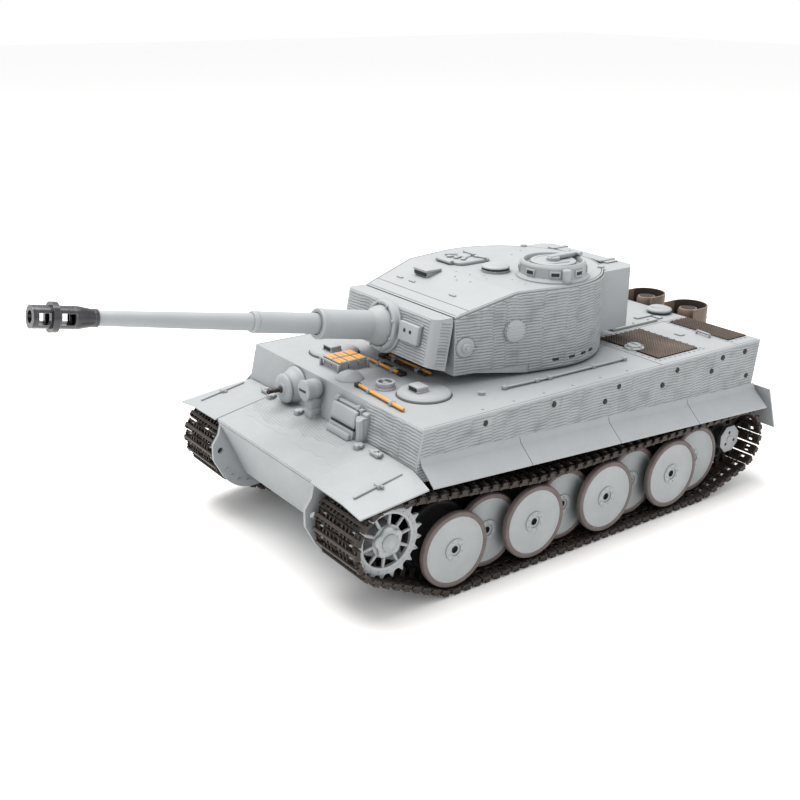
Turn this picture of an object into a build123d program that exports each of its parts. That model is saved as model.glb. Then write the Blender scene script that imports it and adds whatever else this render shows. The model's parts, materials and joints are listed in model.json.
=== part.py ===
from build123d import *
import os
from math import acos, atan2, cos, degrees, hypot, pi, radians, sin

# A 1:16 remote-controlled heavy tank, in millimetres.
# The front faces -Y, the tank's left is +X, +Z is up and the tracks stand on Z = 0.
# Lengths along the hull are counted from the first road-wheel axle, and the last
# step slides everything along Y so that the origin is below the middle of the model.

# ---- road wheels and suspension ----
WHEELS_PER_SIDE = 8
WHEEL_PITCH = 32.2
WHEEL_RADIUS = 25.0
WHEEL_AXLE_Z = 30.2
WHEEL_DISC = 4.5
WHEEL_RIM_WIDTH = 3.6
WHEEL_HUB_RADIUS = 4.6
ODD_DISC_OUTER_X = 107.4
ODD_DISC_INNER_X = 88.1
EVEN_DISC_OUTER_X = 99.0
EVEN_DISC_INNER_X = 79.5
AXLE_RADIUS = 2.0
RUNNING_FIT = 0.05
ARM_REACH = 15.0
ARM_RISE = 5.8
ARM_RADIUS = 4.6
ARM_THICKNESS = 3.4
ARM_PIN_RADIUS = 2.5
SIDE_CLEARANCE = 0.8

# ---- tracks ----
LINKS_PER_TRACK = 96
TRACK_WIDTH = 45.3
TRACK_MIDDLE_X = 86.15
LINK_PLATE = 2.8
LINK_THICKNESS = 4.6
LINK_GAP = 0.5
GROUSER_WIDTH = 2.8
TRACK_SLACK = 0.6
HORN_HEIGHT = 5.0
HORN_WIDTH = 2.4
HORN_OFFSET = 5.0
TOOTH_RING_OFFSET = 15.15
TOOTH_RING = 2.6
TOOTH_SLOT_CLEARANCE = 0.4

# ---- drive sprocket and idler ----
SPROCKET_Y = -47.4
SPROCKET_Z = 48.7
SPROCKET_TEETH = 20
SPROCKET_BED_RADIUS = 22.2
SPROCKET_RIM_RADIUS = 21.6
SPROCKET_TIP_RADIUS = 25.3
SPROCKET_RIM_BAND = 4.4
SPROCKET_SPOKES = 10
SPROCKET_DRUM_RADIUS = 10.5
SPROCKET_HUB_REACH = 3.6
DRIVE_SHAFT_RADIUS = 3.2
IDLER_BEHIND_AXLE = 38.6
IDLER_Y = (WHEELS_PER_SIDE - 1) * WHEEL_PITCH + IDLER_BEHIND_AXLE
IDLER_Z = 37.2
IDLER_RADIUS = 21.0
IDLER_CAP_RADIUS = 10.8
IDLER_HUB_RADIUS = 7.0
IDLER_INNER_X = 69.8
IDLER_HORN_CLEARANCE = 0.7
IDLER_WINDOWS = 8
IDLER_WINDOW_RADIUS = 3.2
IDLER_WINDOW_OFFSET = 13.6
TOP_RUN_LOW_Y = 64.0
TOP_RUN_LOW_Z = 57.8

# ---- hull ----
WALL = 2.2
TUB_HALF_WIDTH = 60.0
HULL_HALF_WIDTH = 98.5
HULL_BOTTOM_Z = 24.0
DECK_Z = 109.7
SPONSON_Z = 79.0
GLACIS_FRONT_Y = -70.7
GLACIS_FRONT_Z = 77.0
FRONT_PLATE_BOTTOM_Y = -24.5
FRONT_PLATE_BOTTOM_Z = 86.0
FRONT_PLATE_TOP_Y = -19.0
REAR_BOTTOM_Y = IDLER_Y + 19.0
REAR_TOP_Y = REAR_BOTTOM_Y + 4.3
NOSE_KNEE_Y = -53.0
NOSE_KNEE_Z = 34.0
NOSE_FOOT_Y = -40.0
SIDE_PLATE_RADIUS = 26.0
SHACKLE_Y = -71.0
SHACKLE_Z = 54.4
SHACKLE_HOLE_RADIUS = 2.2
SHACKLE_LUG_RADIUS = 5.4
SKIRT_THICKNESS = 1.0
SKIRT_FLANGE = 4.5
SKIRT_FLANGE_REACH = 1.7
FENDER_HALF_WIDTH = 112.0
SKIRT_SEAMS = (-22.0, 55.0, 133.0, 211.0, IDLER_Y + 22.0)
SKIRT_TOP_FRONT_Z = 93.3
SKIRT_TOP_REAR_Z = 76.5
SKIRT_BOTTOM_FRONT_Z = 79.0
SKIRT_BOTTOM_REAR_Z = 61.9
SKIRT_SEAM_GAP = 0.5
MUDGUARD_FRONT_Y = -72.5
MUDGUARD_FRONT_Z = 73.6
MUDGUARD_FOLD_X = 94.0
FLAP_TIP_Y = IDLER_Y + 35.0
FLAP_TIP_Z = 42.8

# ---- turret ----
TURRET_Y = 129.6
TURRET_RADIUS = 64.5
TURRET_FRONT_Y = 41.0
TURRET_FRONT_HALF_WIDTH = 50.0
TURRET_BOTTOM_Z = DECK_Z + 6.7
TURRET_ROOF_Z = TURRET_BOTTOM_Z + 49.6
TURRET_FRONT_ROOF_Z = TURRET_ROOF_Z - 11.3
ROOF_BEND_Y = 85.0
RING_RADIUS = 57.5
RING_CLEARANCE = 0.3
CUPOLA_X = 37.0
CUPOLA_Y = 134.7
CUPOLA_RADIUS = 22.0
CUPOLA_WALL = 4.2
CUPOLA_TOP_Z = TURRET_ROOF_Z + 11.5
COMMANDER_LID_RADIUS = 15.5
COMMANDER_LID_DROP = 2.2
LOADER_X = -32.0
LOADER_Y = 113.0
LOADER_HALF = 15.0
BIN_HALF_WIDTH = 46.0
BIN_REAR_HALF_WIDTH = 40.0
BIN_CORNER_Y = 201.0
BIN_REAR_Y = 208.0
BIN_BOTTOM_Z = TURRET_BOTTOM_Z + 5.1
BIN_TOP_Z = TURRET_ROOF_Z - 1.5
BIN_WALL = 1.6

# ---- gun ----
PIVOT_Y = 43.0
PIVOT_Z = TURRET_BOTTOM_Z + 20.6
REST_ELEVATION = 10.8
MANTLET_BACK = 5.6
MANTLET_FRONT = 20.0
MANTLET_HALF_WIDTH = 49.5
MANTLET_UP = 17.0
MANTLET_DOWN = 17.5
SLEEVE_RADIUS = 9.4
SLEEVE_END = 73.7
SLEEVE_BORE_RADIUS = 7.0
RECOIL_TRAVEL = 12.0
COLLAR_RADIUS = 6.7
COLLAR_END = 120.4
TUBE_END = 215.9
TUBE_ROOT_RADIUS = 5.3
TUBE_TIP_RADIUS = 4.3
BRAKE_FLANGE = 239.9
BRAKE_END = 252.7
BRAKE_RADIUS = 6.4
BRAKE_FLANGE_RADIUS = 8.4
BORE_RADIUS = 2.6
TRUNNION_RADIUS = 3.0
TRUNNION_BRACKET_X = (24.0, 28.0)
TRUNNION_REACH = 30.0
TURRET_WINDOW_HALF_WIDTH = 38.0
TURRET_WINDOW_TOP_Z = PIVOT_Z + 14.0

# ---- hatches and fittings on the hull ----
HATCH_X = 51.5
HATCH_Y = 16.5
HATCH_RADIUS = 17.0
HATCH_PLATE = 2.0
HATCH_OPENING = 12.0
HATCH_PIN_REACH = 14.6
HATCH_PIN_ANGLE = -45.0
HATCH_PIN_RADIUS = 1.4
HATCH_GUARD_HEIGHT = 3.6
KNUCKLE_RADIUS = 1.3
MG_X = -40.0
MG_Z = 96.0
MG_BALL_RADIUS = 7.4
MG_BARREL_TIP = 18.0
MG_BARREL_RADIUS = 1.4
MG_JACKET_RADIUS = 2.4
MG_BULGE_RADIUS = 12.2
MG_PORT_CLEARANCE = 1.0
VISOR_X = 26.5
VISOR_HALF_WIDTH = 14.5
VISOR_BOTTOM_Z = 84.5
VISOR_TOP_Z = 104.0
VISOR_SLIT_Z = 91.0
VISOR_DEPTH = 5.2
VISOR_POST_X = 44.4
VISOR_POST_HALF_WIDTH = 3.2
VISOR_POST_Z = (81.0, 101.5)
VISOR_POST_DEPTH = 8.0
LAMP_X = -10.0
LAMP_Z = 104.0
LAMP_RADIUS = 6.6
LAMP_LENGTH = 12.0
LAMP_FRONT_Y = -34.0
LAMP_POST_RADIUS = 3.4
GRILLE_INNER_X = 32.0
GRILLE_OUTER_X = 87.0
GRILLE_PLATE = 0.8
GRILLE_FRAME = 2.0
FRONT_GRILLE_Y = (191.0, 232.0)
REAR_GRILLE_Y = (REAR_TOP_Y - 22.3, REAR_TOP_Y - 1.8)
ENGINE_HATCH_HALF_WIDTH = 25.0
ENGINE_HATCH_Y = (212.0, 260.0)
ENGINE_HATCH_PLATE = 1.8
EXHAUST_X = 21.5
EXHAUST_Y = REAR_BOTTOM_Y + 15.3
EXHAUST_RADIUS = 14.7
EXHAUST_SHEET = 1.0
EXHAUST_TOP_Z = DECK_Z + 6.8
EXHAUST_BOTTOM_Z = 66.0
STACK_RADIUS = 7.6
STACK_TOP_Z = DECK_Z + 3.8
SIDE_HOLE_RADIUS = 1.5
SIDE_HOLES_HIGH_Z = 103.5
SIDE_HOLES_HIGH_Y = (27.0, 83.0, 141.0, 198.0, 246.0, 270.5)
SIDE_HOLES_LOW_Z = 95.5
SIDE_HOLES_LOW_Y = (129.0, 184.0, 235.0)

FREE_FIT = 0.3
SIDES = (("left", 1), ("right", -1))


def block(x0, x1, y0, y1, z0, z1):
    """A box between two corners, given low to high."""
    middle = ((x0 + x1) / 2, (y0 + y1) / 2, (z0 + z1) / 2)
    return Pos(*middle) * Box(x1 - x0, y1 - y0, z1 - z0)


def rod_x(x0, x1, y, z, radius):
    """A round bar along X."""
    return Pos((x0 + x1) / 2, y, z) * Rot(0, 90, 0) * Cylinder(radius, abs(x1 - x0))


def rod_y(y0, y1, x, z, radius):
    """A round bar along Y."""
    return Pos(x, (y0 + y1) / 2, z) * Rot(90, 0, 0) * Cylinder(radius, abs(y1 - y0))


def rod_z(z0, z1, x, y, radius):
    """A round bar along Z."""
    return Pos(x, y, (z0 + z1) / 2) * Cylinder(radius, abs(z1 - z0))


def side_profile(points, x0, x1):
    """A plate whose outline lies in the YZ plane, from x0 to x1."""
    outline = Polyline(*[(0, y, z) for y, z in points], close=True)
    return Pos(x0, 0, 0) * extrude(make_face(outline), x1 - x0, dir=(1, 0, 0))


def plan_profile(points, z0, z1):
    """A plate whose outline lies in the XY plane, from z0 to z1."""
    outline = Polyline(*[(x, y, 0) for x, y in points], close=True)
    return Pos(0, 0, z0) * extrude(make_face(outline), z1 - z0, dir=(0, 0, 1))


def folded_strip(front, rear, y_front, y_rear):
    """Sheet metal whose bend line rises or falls from y_front to y_rear.

    front and rear are the sheet's upper edge at each end, as (x, z) points."""
    ends = []
    for points, y in ((front, y_front), (rear, y_rear)):
        under = [(x, z - SKIRT_THICKNESS) for x, z in reversed(points)]
        corners = [(x, y, z) for x, z in list(points) + under]
        ends.append(make_face(Polyline(*corners, close=True)))
    return loft(ends, ruled=True)


def mirrored(solids):
    """The same pieces on the tank's other side."""
    return [solid.mirror(Plane.YZ) for solid in solids]


def on_side(solids, sign):
    """Pieces modelled on the left, put on the side that sign names."""
    return list(solids) if sign > 0 else mirrored(solids)


def axle_y(index):
    return index * WHEEL_PITCH


def blend_between(y, start, end):
    """Straight-line value along the skirt, from its front edge to its rear edge."""
    share = (y - SKIRT_SEAMS[0]) / (SKIRT_SEAMS[-1] - SKIRT_SEAMS[0])
    return start + share * (end - start)


# ---------------------------------------------------------------- running gear

def wheel_discs(index):
    """Outer faces of the two discs on an axle; the discs of neighbours interleave."""
    if index % 2 == 0:
        return ODD_DISC_OUTER_X, ODD_DISC_INNER_X
    return EVEN_DISC_OUTER_X, EVEN_DISC_INNER_X


def make_wheel(index):
    """Two dished discs on a hub that turns on the arm's axle."""
    y = axle_y(index)
    outer_x, inner_x = wheel_discs(index)
    solids = []
    for face_x in (outer_x, inner_x):
        disc = rod_x(face_x - WHEEL_DISC, face_x, y, WHEEL_AXLE_Z, WHEEL_RADIUS)
        dish = rod_x(face_x - 1.2, face_x + 1, y, WHEEL_AXLE_Z, WHEEL_RADIUS - WHEEL_RIM_WIDTH)
        bore_radius = WHEEL_HUB_RADIUS if face_x == outer_x else AXLE_RADIUS + RUNNING_FIT
        bore = rod_x(face_x - WHEEL_DISC - 1, face_x + 1, y, WHEEL_AXLE_Z, bore_radius)
        solids.append(disc - dish - bore)
    hub = rod_x(inner_x, outer_x - 0.4, y, WHEEL_AXLE_Z, WHEEL_HUB_RADIUS)
    hub -= rod_x(inner_x - 1, axle_tip_x(index) + FREE_FIT, y, WHEEL_AXLE_Z, AXLE_RADIUS + RUNNING_FIT)
    solids.append(hub)
    return solids


def axle_tip_x(index):
    return wheel_discs(index)[0] - WHEEL_DISC


def arm_pivot(index):
    """Suspension pivot of one arm, behind and above its axle."""
    return axle_y(index) + ARM_REACH, WHEEL_AXLE_Z + ARM_RISE


def make_arm(index):
    """A swing arm with the pin that turns in the hull and the axle that carries the wheel."""
    y, z = axle_y(index), WHEEL_AXLE_Z
    pivot_y, pivot_z = arm_pivot(index)
    x0 = TUB_HALF_WIDTH + SIDE_CLEARANCE
    x1 = x0 + ARM_THICKNESS
    length = hypot(ARM_REACH, ARM_RISE)
    slope = degrees(atan2(pivot_z - z, pivot_y - y))
    web = Pos((x0 + x1) / 2, (y + pivot_y) / 2, (z + pivot_z) / 2) * Rot(slope, 0, 0)
    arm = web * Box(ARM_THICKNESS, length, ARM_RADIUS * 1.3)
    arm += rod_x(x0, x1, y, z, ARM_RADIUS)
    arm += rod_x(x0, x1, pivot_y, pivot_z, ARM_RADIUS)
    arm += rod_x(TUB_HALF_WIDTH - 8, x0, pivot_y, pivot_z, ARM_PIN_RADIUS)
    arm += rod_x(x1, axle_tip_x(index), y, z, AXLE_RADIUS)
    return [arm]


def toothed_ring(x0, x1):
    """A sprocket ring: toothed rim, spokes and the boss that sits on the drum."""
    ring = rod_x(x0, x1, 0, 0, SPROCKET_RIM_RADIUS)
    ring -= rod_x(x0 - 1, x1 + 1, 0, 0, SPROCKET_RIM_RADIUS - SPROCKET_RIM_BAND)
    root = SPROCKET_RIM_RADIUS - 1
    tooth = side_profile([(-1.9, root), (1.9, root), (0.8, SPROCKET_TIP_RADIUS - 0.1),
                          (-0.8, SPROCKET_TIP_RADIUS - 0.1)], x0, x1)
    for count in range(SPROCKET_TEETH):
        ring += Rot(count * 360 / SPROCKET_TEETH, 0, 0) * tooth
    spoke_out = SPROCKET_RIM_RADIUS - SPROCKET_RIM_BAND + 0.8
    spoke = block(x0, x1, -1.2, 1.2, SPROCKET_DRUM_RADIUS - 1, spoke_out)
    for count in range(SPROCKET_SPOKES):
        ring += Rot(count * 360 / SPROCKET_SPOKES, 0, 0) * spoke
    return ring + rod_x(x0, x1, 0, 0, SPROCKET_DRUM_RADIUS)


def make_sprocket():
    """Two toothed rings on a drum, with a shaft into the hull and a bolted hub outside."""
    place = Pos(0, SPROCKET_Y, SPROCKET_Z)
    outer_x = TRACK_MIDDLE_X + TOOTH_RING_OFFSET - TOOTH_RING / 2
    inner_x = TRACK_MIDDLE_X - TOOTH_RING_OFFSET - TOOTH_RING / 2
    drum = rod_x(inner_x + TOOTH_RING, outer_x, 0, 0, SPROCKET_DRUM_RADIUS - 0.5)
    shaft = rod_x(TUB_HALF_WIDTH - 14, inner_x, 0, 0, DRIVE_SHAFT_RADIUS)
    face_x = outer_x + TOOTH_RING
    hub = rod_x(face_x, face_x + SPROCKET_HUB_REACH, 0, 0, SPROCKET_DRUM_RADIUS - 0.5)
    hub = chamfer(hub.edges().filter_by(GeomType.CIRCLE).sort_by(Axis.X)[-1:], 1.2)
    cap = rod_x(face_x + SPROCKET_HUB_REACH, face_x + SPROCKET_HUB_REACH + 2, 0, 0, 5.2)
    solids = [toothed_ring(inner_x, inner_x + TOOTH_RING), toothed_ring(outer_x, face_x), drum, shaft,
              hub, cap]
    return [place * solid for solid in solids]


def make_idler():
    """A wide wheel that runs between the guide horns, a plain inner wheel, and a flat-sided cap."""
    place = Pos(0, IDLER_Y, IDLER_Z)
    guided_half = HORN_OFFSET - HORN_WIDTH / 2 - IDLER_HORN_CLEARANCE
    guided = rod_x(TRACK_MIDDLE_X - guided_half, TRACK_MIDDLE_X + guided_half, 0, 0, IDLER_RADIUS)
    plain = rod_x(IDLER_INNER_X, IDLER_INNER_X + WHEEL_DISC, 0, 0, IDLER_RADIUS)
    window = rod_x(IDLER_INNER_X - 1, EVEN_DISC_OUTER_X, 0, IDLER_WINDOW_OFFSET, IDLER_WINDOW_RADIUS)
    for count in range(IDLER_WINDOWS):
        turned = Rot(count * 360 / IDLER_WINDOWS, 0, 0) * window
        guided -= turned
        plain -= turned
    hub = rod_x(IDLER_INNER_X, EVEN_DISC_OUTER_X - 2.2, 0, 0, IDLER_HUB_RADIUS)
    shaft = rod_x(TUB_HALF_WIDTH - 8, IDLER_INNER_X, 0, 0, DRIVE_SHAFT_RADIUS)
    cap_outline = Rot(22.5, 0, 0) * Rot(0, 90, 0) * RegularPolygon(IDLER_CAP_RADIUS, 8)
    cap = Pos(EVEN_DISC_OUTER_X - 2.2, 0, 0) * extrude(cap_outline, 2.2, dir=(1, 0, 0))
    return [place * solid for solid in (guided - hub, plain - hub, hub + shaft, cap)]


def belt_circles():
    """Circles that the inner face of the track bears on, in order round the loop."""
    last_axle_y = axle_y(WHEELS_PER_SIDE - 1)
    bed = WHEEL_AXLE_Z - LINK_THICKNESS
    return [(0.0, WHEEL_AXLE_Z, bed), (last_axle_y, WHEEL_AXLE_Z, bed),
            (IDLER_Y, IDLER_Z, IDLER_RADIUS + TRACK_SLACK), (SPROCKET_Y, SPROCKET_Z, SPROCKET_BED_RADIUS)]


def outer_tangent(first, second):
    """Where a belt leaves one circle and meets the next, both turning the same way."""
    (y1, z1, r1), (y2, z2, r2) = first, second
    dy, dz = y2 - y1, z2 - z1
    distance = hypot(dy, dz)
    lean = atan2(dz, dy) - acos((r1 - r2) / distance)
    normal = (cos(lean), sin(lean))
    return ((y1 + r1 * normal[0], z1 + r1 * normal[1]), (y2 + r2 * normal[0], z2 + r2 * normal[1]))


def belt_path():
    """Straight and round stretches of the track's inner face, once round the loop."""
    circles = belt_circles()
    low = (TOP_RUN_LOW_Y, TOP_RUN_LOW_Z, 0.0)
    loop = [circles[0], circles[1], circles[2], low, circles[3]]
    tangents = [outer_tangent(loop[i], loop[(i + 1) % len(loop)]) for i in range(len(loop))]
    stretches = []
    for index, circle in enumerate(loop):
        arrive = tangents[index - 1][1]
        leave = tangents[index][0]
        if circle[2] > 0:
            start = atan2(arrive[1] - circle[1], arrive[0] - circle[0])
            turn = (atan2(leave[1] - circle[1], leave[0] - circle[0]) - start) % (2 * pi)
            stretches.append(("arc", circle, start, turn, circle[2] * turn))
        run = hypot(tangents[index][1][0] - leave[0], tangents[index][1][1] - leave[1])
        stretches.append(("run", leave, tangents[index][1], None, run))
    return stretches


def belt_place(stretches, travel):
    """Point and outward normal angle of the track's inner face at a distance round the loop."""
    for kind, first, second, turn, length in stretches:
        if travel > length:
            travel -= length
            continue
        if kind == "arc":
            angle = second + travel / first[2]
            return first[0] + first[2] * cos(angle), first[1] + first[2] * sin(angle), angle
        share = travel / length
        y = first[0] + share * (second[0] - first[0])
        z = first[1] + share * (second[1] - first[1])
        return y, z, atan2(second[1] - first[1], second[0] - first[0]) - pi / 2
    return belt_place(stretches, 0.0)


def link_parts(pitch):
    """One track link lying flat, ground side up, its inner face on Z = 0."""
    half = (pitch - LINK_GAP) / 2
    link = block(-TRACK_WIDTH / 2, TRACK_WIDTH / 2, -half, half, 0, LINK_PLATE)
    slot_half = TOOTH_RING / 2 + TOOTH_SLOT_CLEARANCE
    for side in (-1, 1):
        middle = side * TOOTH_RING_OFFSET
        link -= block(middle - slot_half, middle + slot_half, -half - 1, half + 1, -1, LINK_PLATE + 1)
    link += block(-TRACK_WIDTH / 2, TRACK_WIDTH / 2, -GROUSER_WIDTH / 2, GROUSER_WIDTH / 2,
                  LINK_PLATE + 0.6, LINK_THICKNESS)
    for side in (-1, 1):
        middle = side * TOOTH_RING_OFFSET
        inside = middle - side * slot_half
        outside = side * TRACK_WIDTH / 2
        for edge_a, edge_b in ((inside, -side * 0.1), (outside, middle + side * slot_half)):
            low, high = min(edge_a, edge_b), max(edge_a, edge_b)
            link += block(low, high, -GROUSER_WIDTH / 2, GROUSER_WIDTH / 2, LINK_PLATE - 0.1,
                          LINK_PLATE + 0.7)
    for side in (-1, 1):
        horn_x = side * HORN_OFFSET
        link += block(horn_x - HORN_WIDTH / 2, horn_x + HORN_WIDTH / 2, -2.0, 2.0, -HORN_HEIGHT, 0.1)
    return link


def make_track():
    """Separate links laid round the wheels, sprocket and idler."""
    stretches = belt_path()
    total = sum(stretch[4] for stretch in stretches)
    pitch = total / LINKS_PER_TRACK
    link = link_parts(pitch)
    solids = []
    for count in range(LINKS_PER_TRACK):
        y, z, angle = belt_place(stretches, (count + 0.5) * pitch)
        turn = degrees(angle) - 90
        solids.append(Pos(TRACK_MIDDLE_X, y, z) * Rot(turn, 0, 0) * link)
    return solids


# ------------------------------------------------------------------------ hull

def make_lower_hull():
    """The tub: floor, nose, side plates with their shackle lugs, and the rear plate."""
    top_z = SPONSON_Z - 2.0
    foot = (NOSE_FOOT_Y, HULL_BOTTOM_Z)
    rear_y = REAR_BOTTOM_Y - 1.0
    outer = [(GLACIS_FRONT_Y, GLACIS_FRONT_Z - WALL - 0.4), (NOSE_KNEE_Y, NOSE_KNEE_Z), foot,
             (rear_y - 14, HULL_BOTTOM_Z), (rear_y, HULL_BOTTOM_Z + 16), (rear_y, top_z),
             (FRONT_PLATE_BOTTOM_Y, top_z)]
    plate_half = TUB_HALF_WIDTH
    tub = side_profile(outer, -plate_half, plate_half)
    inner = [(GLACIS_FRONT_Y + 5, GLACIS_FRONT_Z + 9), (NOSE_KNEE_Y + WALL + 0.8, NOSE_KNEE_Z + 1.4),
             (NOSE_FOOT_Y + 1.8, HULL_BOTTOM_Z + WALL), (rear_y - 15, HULL_BOTTOM_Z + WALL),
             (rear_y - WALL, HULL_BOTTOM_Z + 17), (rear_y - WALL, top_z + 10)]
    tub -= side_profile(inner, -plate_half + WALL, plate_half - WALL)
    solids = []
    lug = side_profile([(GLACIS_FRONT_Y + 1, GLACIS_FRONT_Z - WALL - 0.4), (GLACIS_FRONT_Y - 1, 66),
                        (SHACKLE_Y - SHACKLE_LUG_RADIUS, SHACKLE_Z + 5),
                        (SHACKLE_Y - SHACKLE_LUG_RADIUS, SHACKLE_Z - 6),
                        (SPROCKET_Y - 22, SPROCKET_Z - 14), (SPROCKET_Y + 8, SPROCKET_Z - 10),
                        (SPROCKET_Y + 8, GLACIS_FRONT_Z - WALL - 0.4)], plate_half - WALL, plate_half)
    side_plate = lug + rod_x(plate_half - WALL, plate_half, SPROCKET_Y, SPROCKET_Z, SIDE_PLATE_RADIUS)
    side_plate -= block(0, 80, SPROCKET_Y - 40, SPROCKET_Y + 40, top_z - 0.05, 100)
    side_plate -= rod_x(plate_half - 5, plate_half + 1, SHACKLE_Y, SHACKLE_Z, SHACKLE_HOLE_RADIUS)
    for plate in on_side([side_plate], 1) + on_side([side_plate], -1):
        tub += plate
    for sign in (1, -1):
        near, far = sign * (plate_half - 4), sign * (plate_half + 1)
        for index in range(WHEELS_PER_SIDE):
            pivot_y, pivot_z = arm_pivot(index)
            tub -= rod_x(near, far, pivot_y, pivot_z, ARM_PIN_RADIUS + RUNNING_FIT)
        tub -= rod_x(near, far, SPROCKET_Y, SPROCKET_Z, DRIVE_SHAFT_RADIUS + RUNNING_FIT)
        tub -= rod_x(near, far, IDLER_Y, IDLER_Z, DRIVE_SHAFT_RADIUS + RUNNING_FIT)
    solids.append(tub)
    for sign in (1, -1):
        for angle in (205, 222, 240, 258):
            y = SPROCKET_Y + 21.5 * cos(radians(angle))
            z = SPROCKET_Z + 21.5 * sin(radians(angle))
            if y < NOSE_FOOT_Y - 4:
                x1 = sign * (plate_half - WALL)
                solids.append(rod_x(min(x1, x1 - sign), max(x1, x1 - sign), y, z, 1.1))
    return solids


def superstructure_outline(inset):
    """Side outline of the upper hull box, shrunk by inset."""
    return [(FRONT_PLATE_BOTTOM_Y + inset, SPONSON_Z - 2 + (inset if inset else 0)),
            (FRONT_PLATE_BOTTOM_Y + inset, FRONT_PLATE_BOTTOM_Z),
            (FRONT_PLATE_TOP_Y + inset, DECK_Z - inset), (REAR_TOP_Y - inset, DECK_Z - inset),
            (REAR_BOTTOM_Y - inset, SPONSON_Z - 2 + (inset if inset else 0))]


def side_holes():
    """Y and Z of the bolt holes in each side plate, in two rows."""
    high = [(y, SIDE_HOLES_HIGH_Z) for y in SIDE_HOLES_HIGH_Y]
    low = [(y, SIDE_HOLES_LOW_Z) for y in SIDE_HOLES_LOW_Y]
    return high + low


def make_upper_hull():
    """One moulded shell: deck, front plate, side plates, sponson floors, rear plate and glacis."""
    shell = side_profile(superstructure_outline(0), -HULL_HALF_WIDTH, HULL_HALF_WIDTH)
    room = HULL_HALF_WIDTH - WALL
    shell -= side_profile(superstructure_outline(WALL), -room, room)
    tub_gap = TUB_HALF_WIDTH - WALL
    shell -= block(-tub_gap, tub_gap, FRONT_PLATE_BOTTOM_Y - 5, REAR_BOTTOM_Y - 2 * WALL,
                   SPONSON_Z - 10, SPONSON_Z + WALL)
    glacis = side_profile([(GLACIS_FRONT_Y, GLACIS_FRONT_Z - WALL), (GLACIS_FRONT_Y, GLACIS_FRONT_Z),
                           (FRONT_PLATE_BOTTOM_Y + 1, FRONT_PLATE_BOTTOM_Z),
                           (FRONT_PLATE_BOTTOM_Y + 1, FRONT_PLATE_BOTTOM_Z - WALL)],
                          -TUB_HALF_WIDTH, TUB_HALF_WIDTH)
    shell += glacis
    shell -= rod_z(DECK_Z - 5, DECK_Z + 1, 0, TURRET_Y, RING_RADIUS)
    for sign in (1, -1):
        shell -= rod_z(DECK_Z - 5, DECK_Z + 1, sign * HATCH_X, HATCH_Y, HATCH_OPENING)
        pin_x, pin_y = crew_hatch_pin()
        shell -= rod_z(DECK_Z - 5, DECK_Z + 1, sign * pin_x, pin_y, HATCH_PIN_RADIUS + RUNNING_FIT)
        for y0, y1 in (FRONT_GRILLE_Y, REAR_GRILLE_Y):
            low, high = sorted((sign * (GRILLE_INNER_X + GRILLE_FRAME), sign * (GRILLE_OUTER_X - GRILLE_FRAME)))
            shell -= block(low, high, y0 + GRILLE_FRAME, y1 - GRILLE_FRAME, DECK_Z - 5, DECK_Z + 1)
        for y, z in side_holes():
            shell -= rod_x(sign * (HULL_HALF_WIDTH - 2 * WALL), sign * (HULL_HALF_WIDTH + 1), y, z, SIDE_HOLE_RADIUS)
    shell -= block(-ENGINE_HATCH_HALF_WIDTH + 3, ENGINE_HATCH_HALF_WIDTH - 3, ENGINE_HATCH_Y[0] + 3,
                   ENGINE_HATCH_Y[1] - 3, DECK_Z - 5, DECK_Z + 1)
    shell -= rod_y(FRONT_PLATE_BOTTOM_Y - 2, FRONT_PLATE_TOP_Y + 6, MG_X, MG_Z, MG_BALL_RADIUS + MG_PORT_CLEARANCE)
    collar = rod_z(DECK_Z, DECK_Z + 3.2, 0, TURRET_Y, RING_RADIUS + 2.6)
    collar -= rod_z(DECK_Z - 1, DECK_Z + 5, 0, TURRET_Y, RING_RADIUS)
    return [shell, collar]


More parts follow.
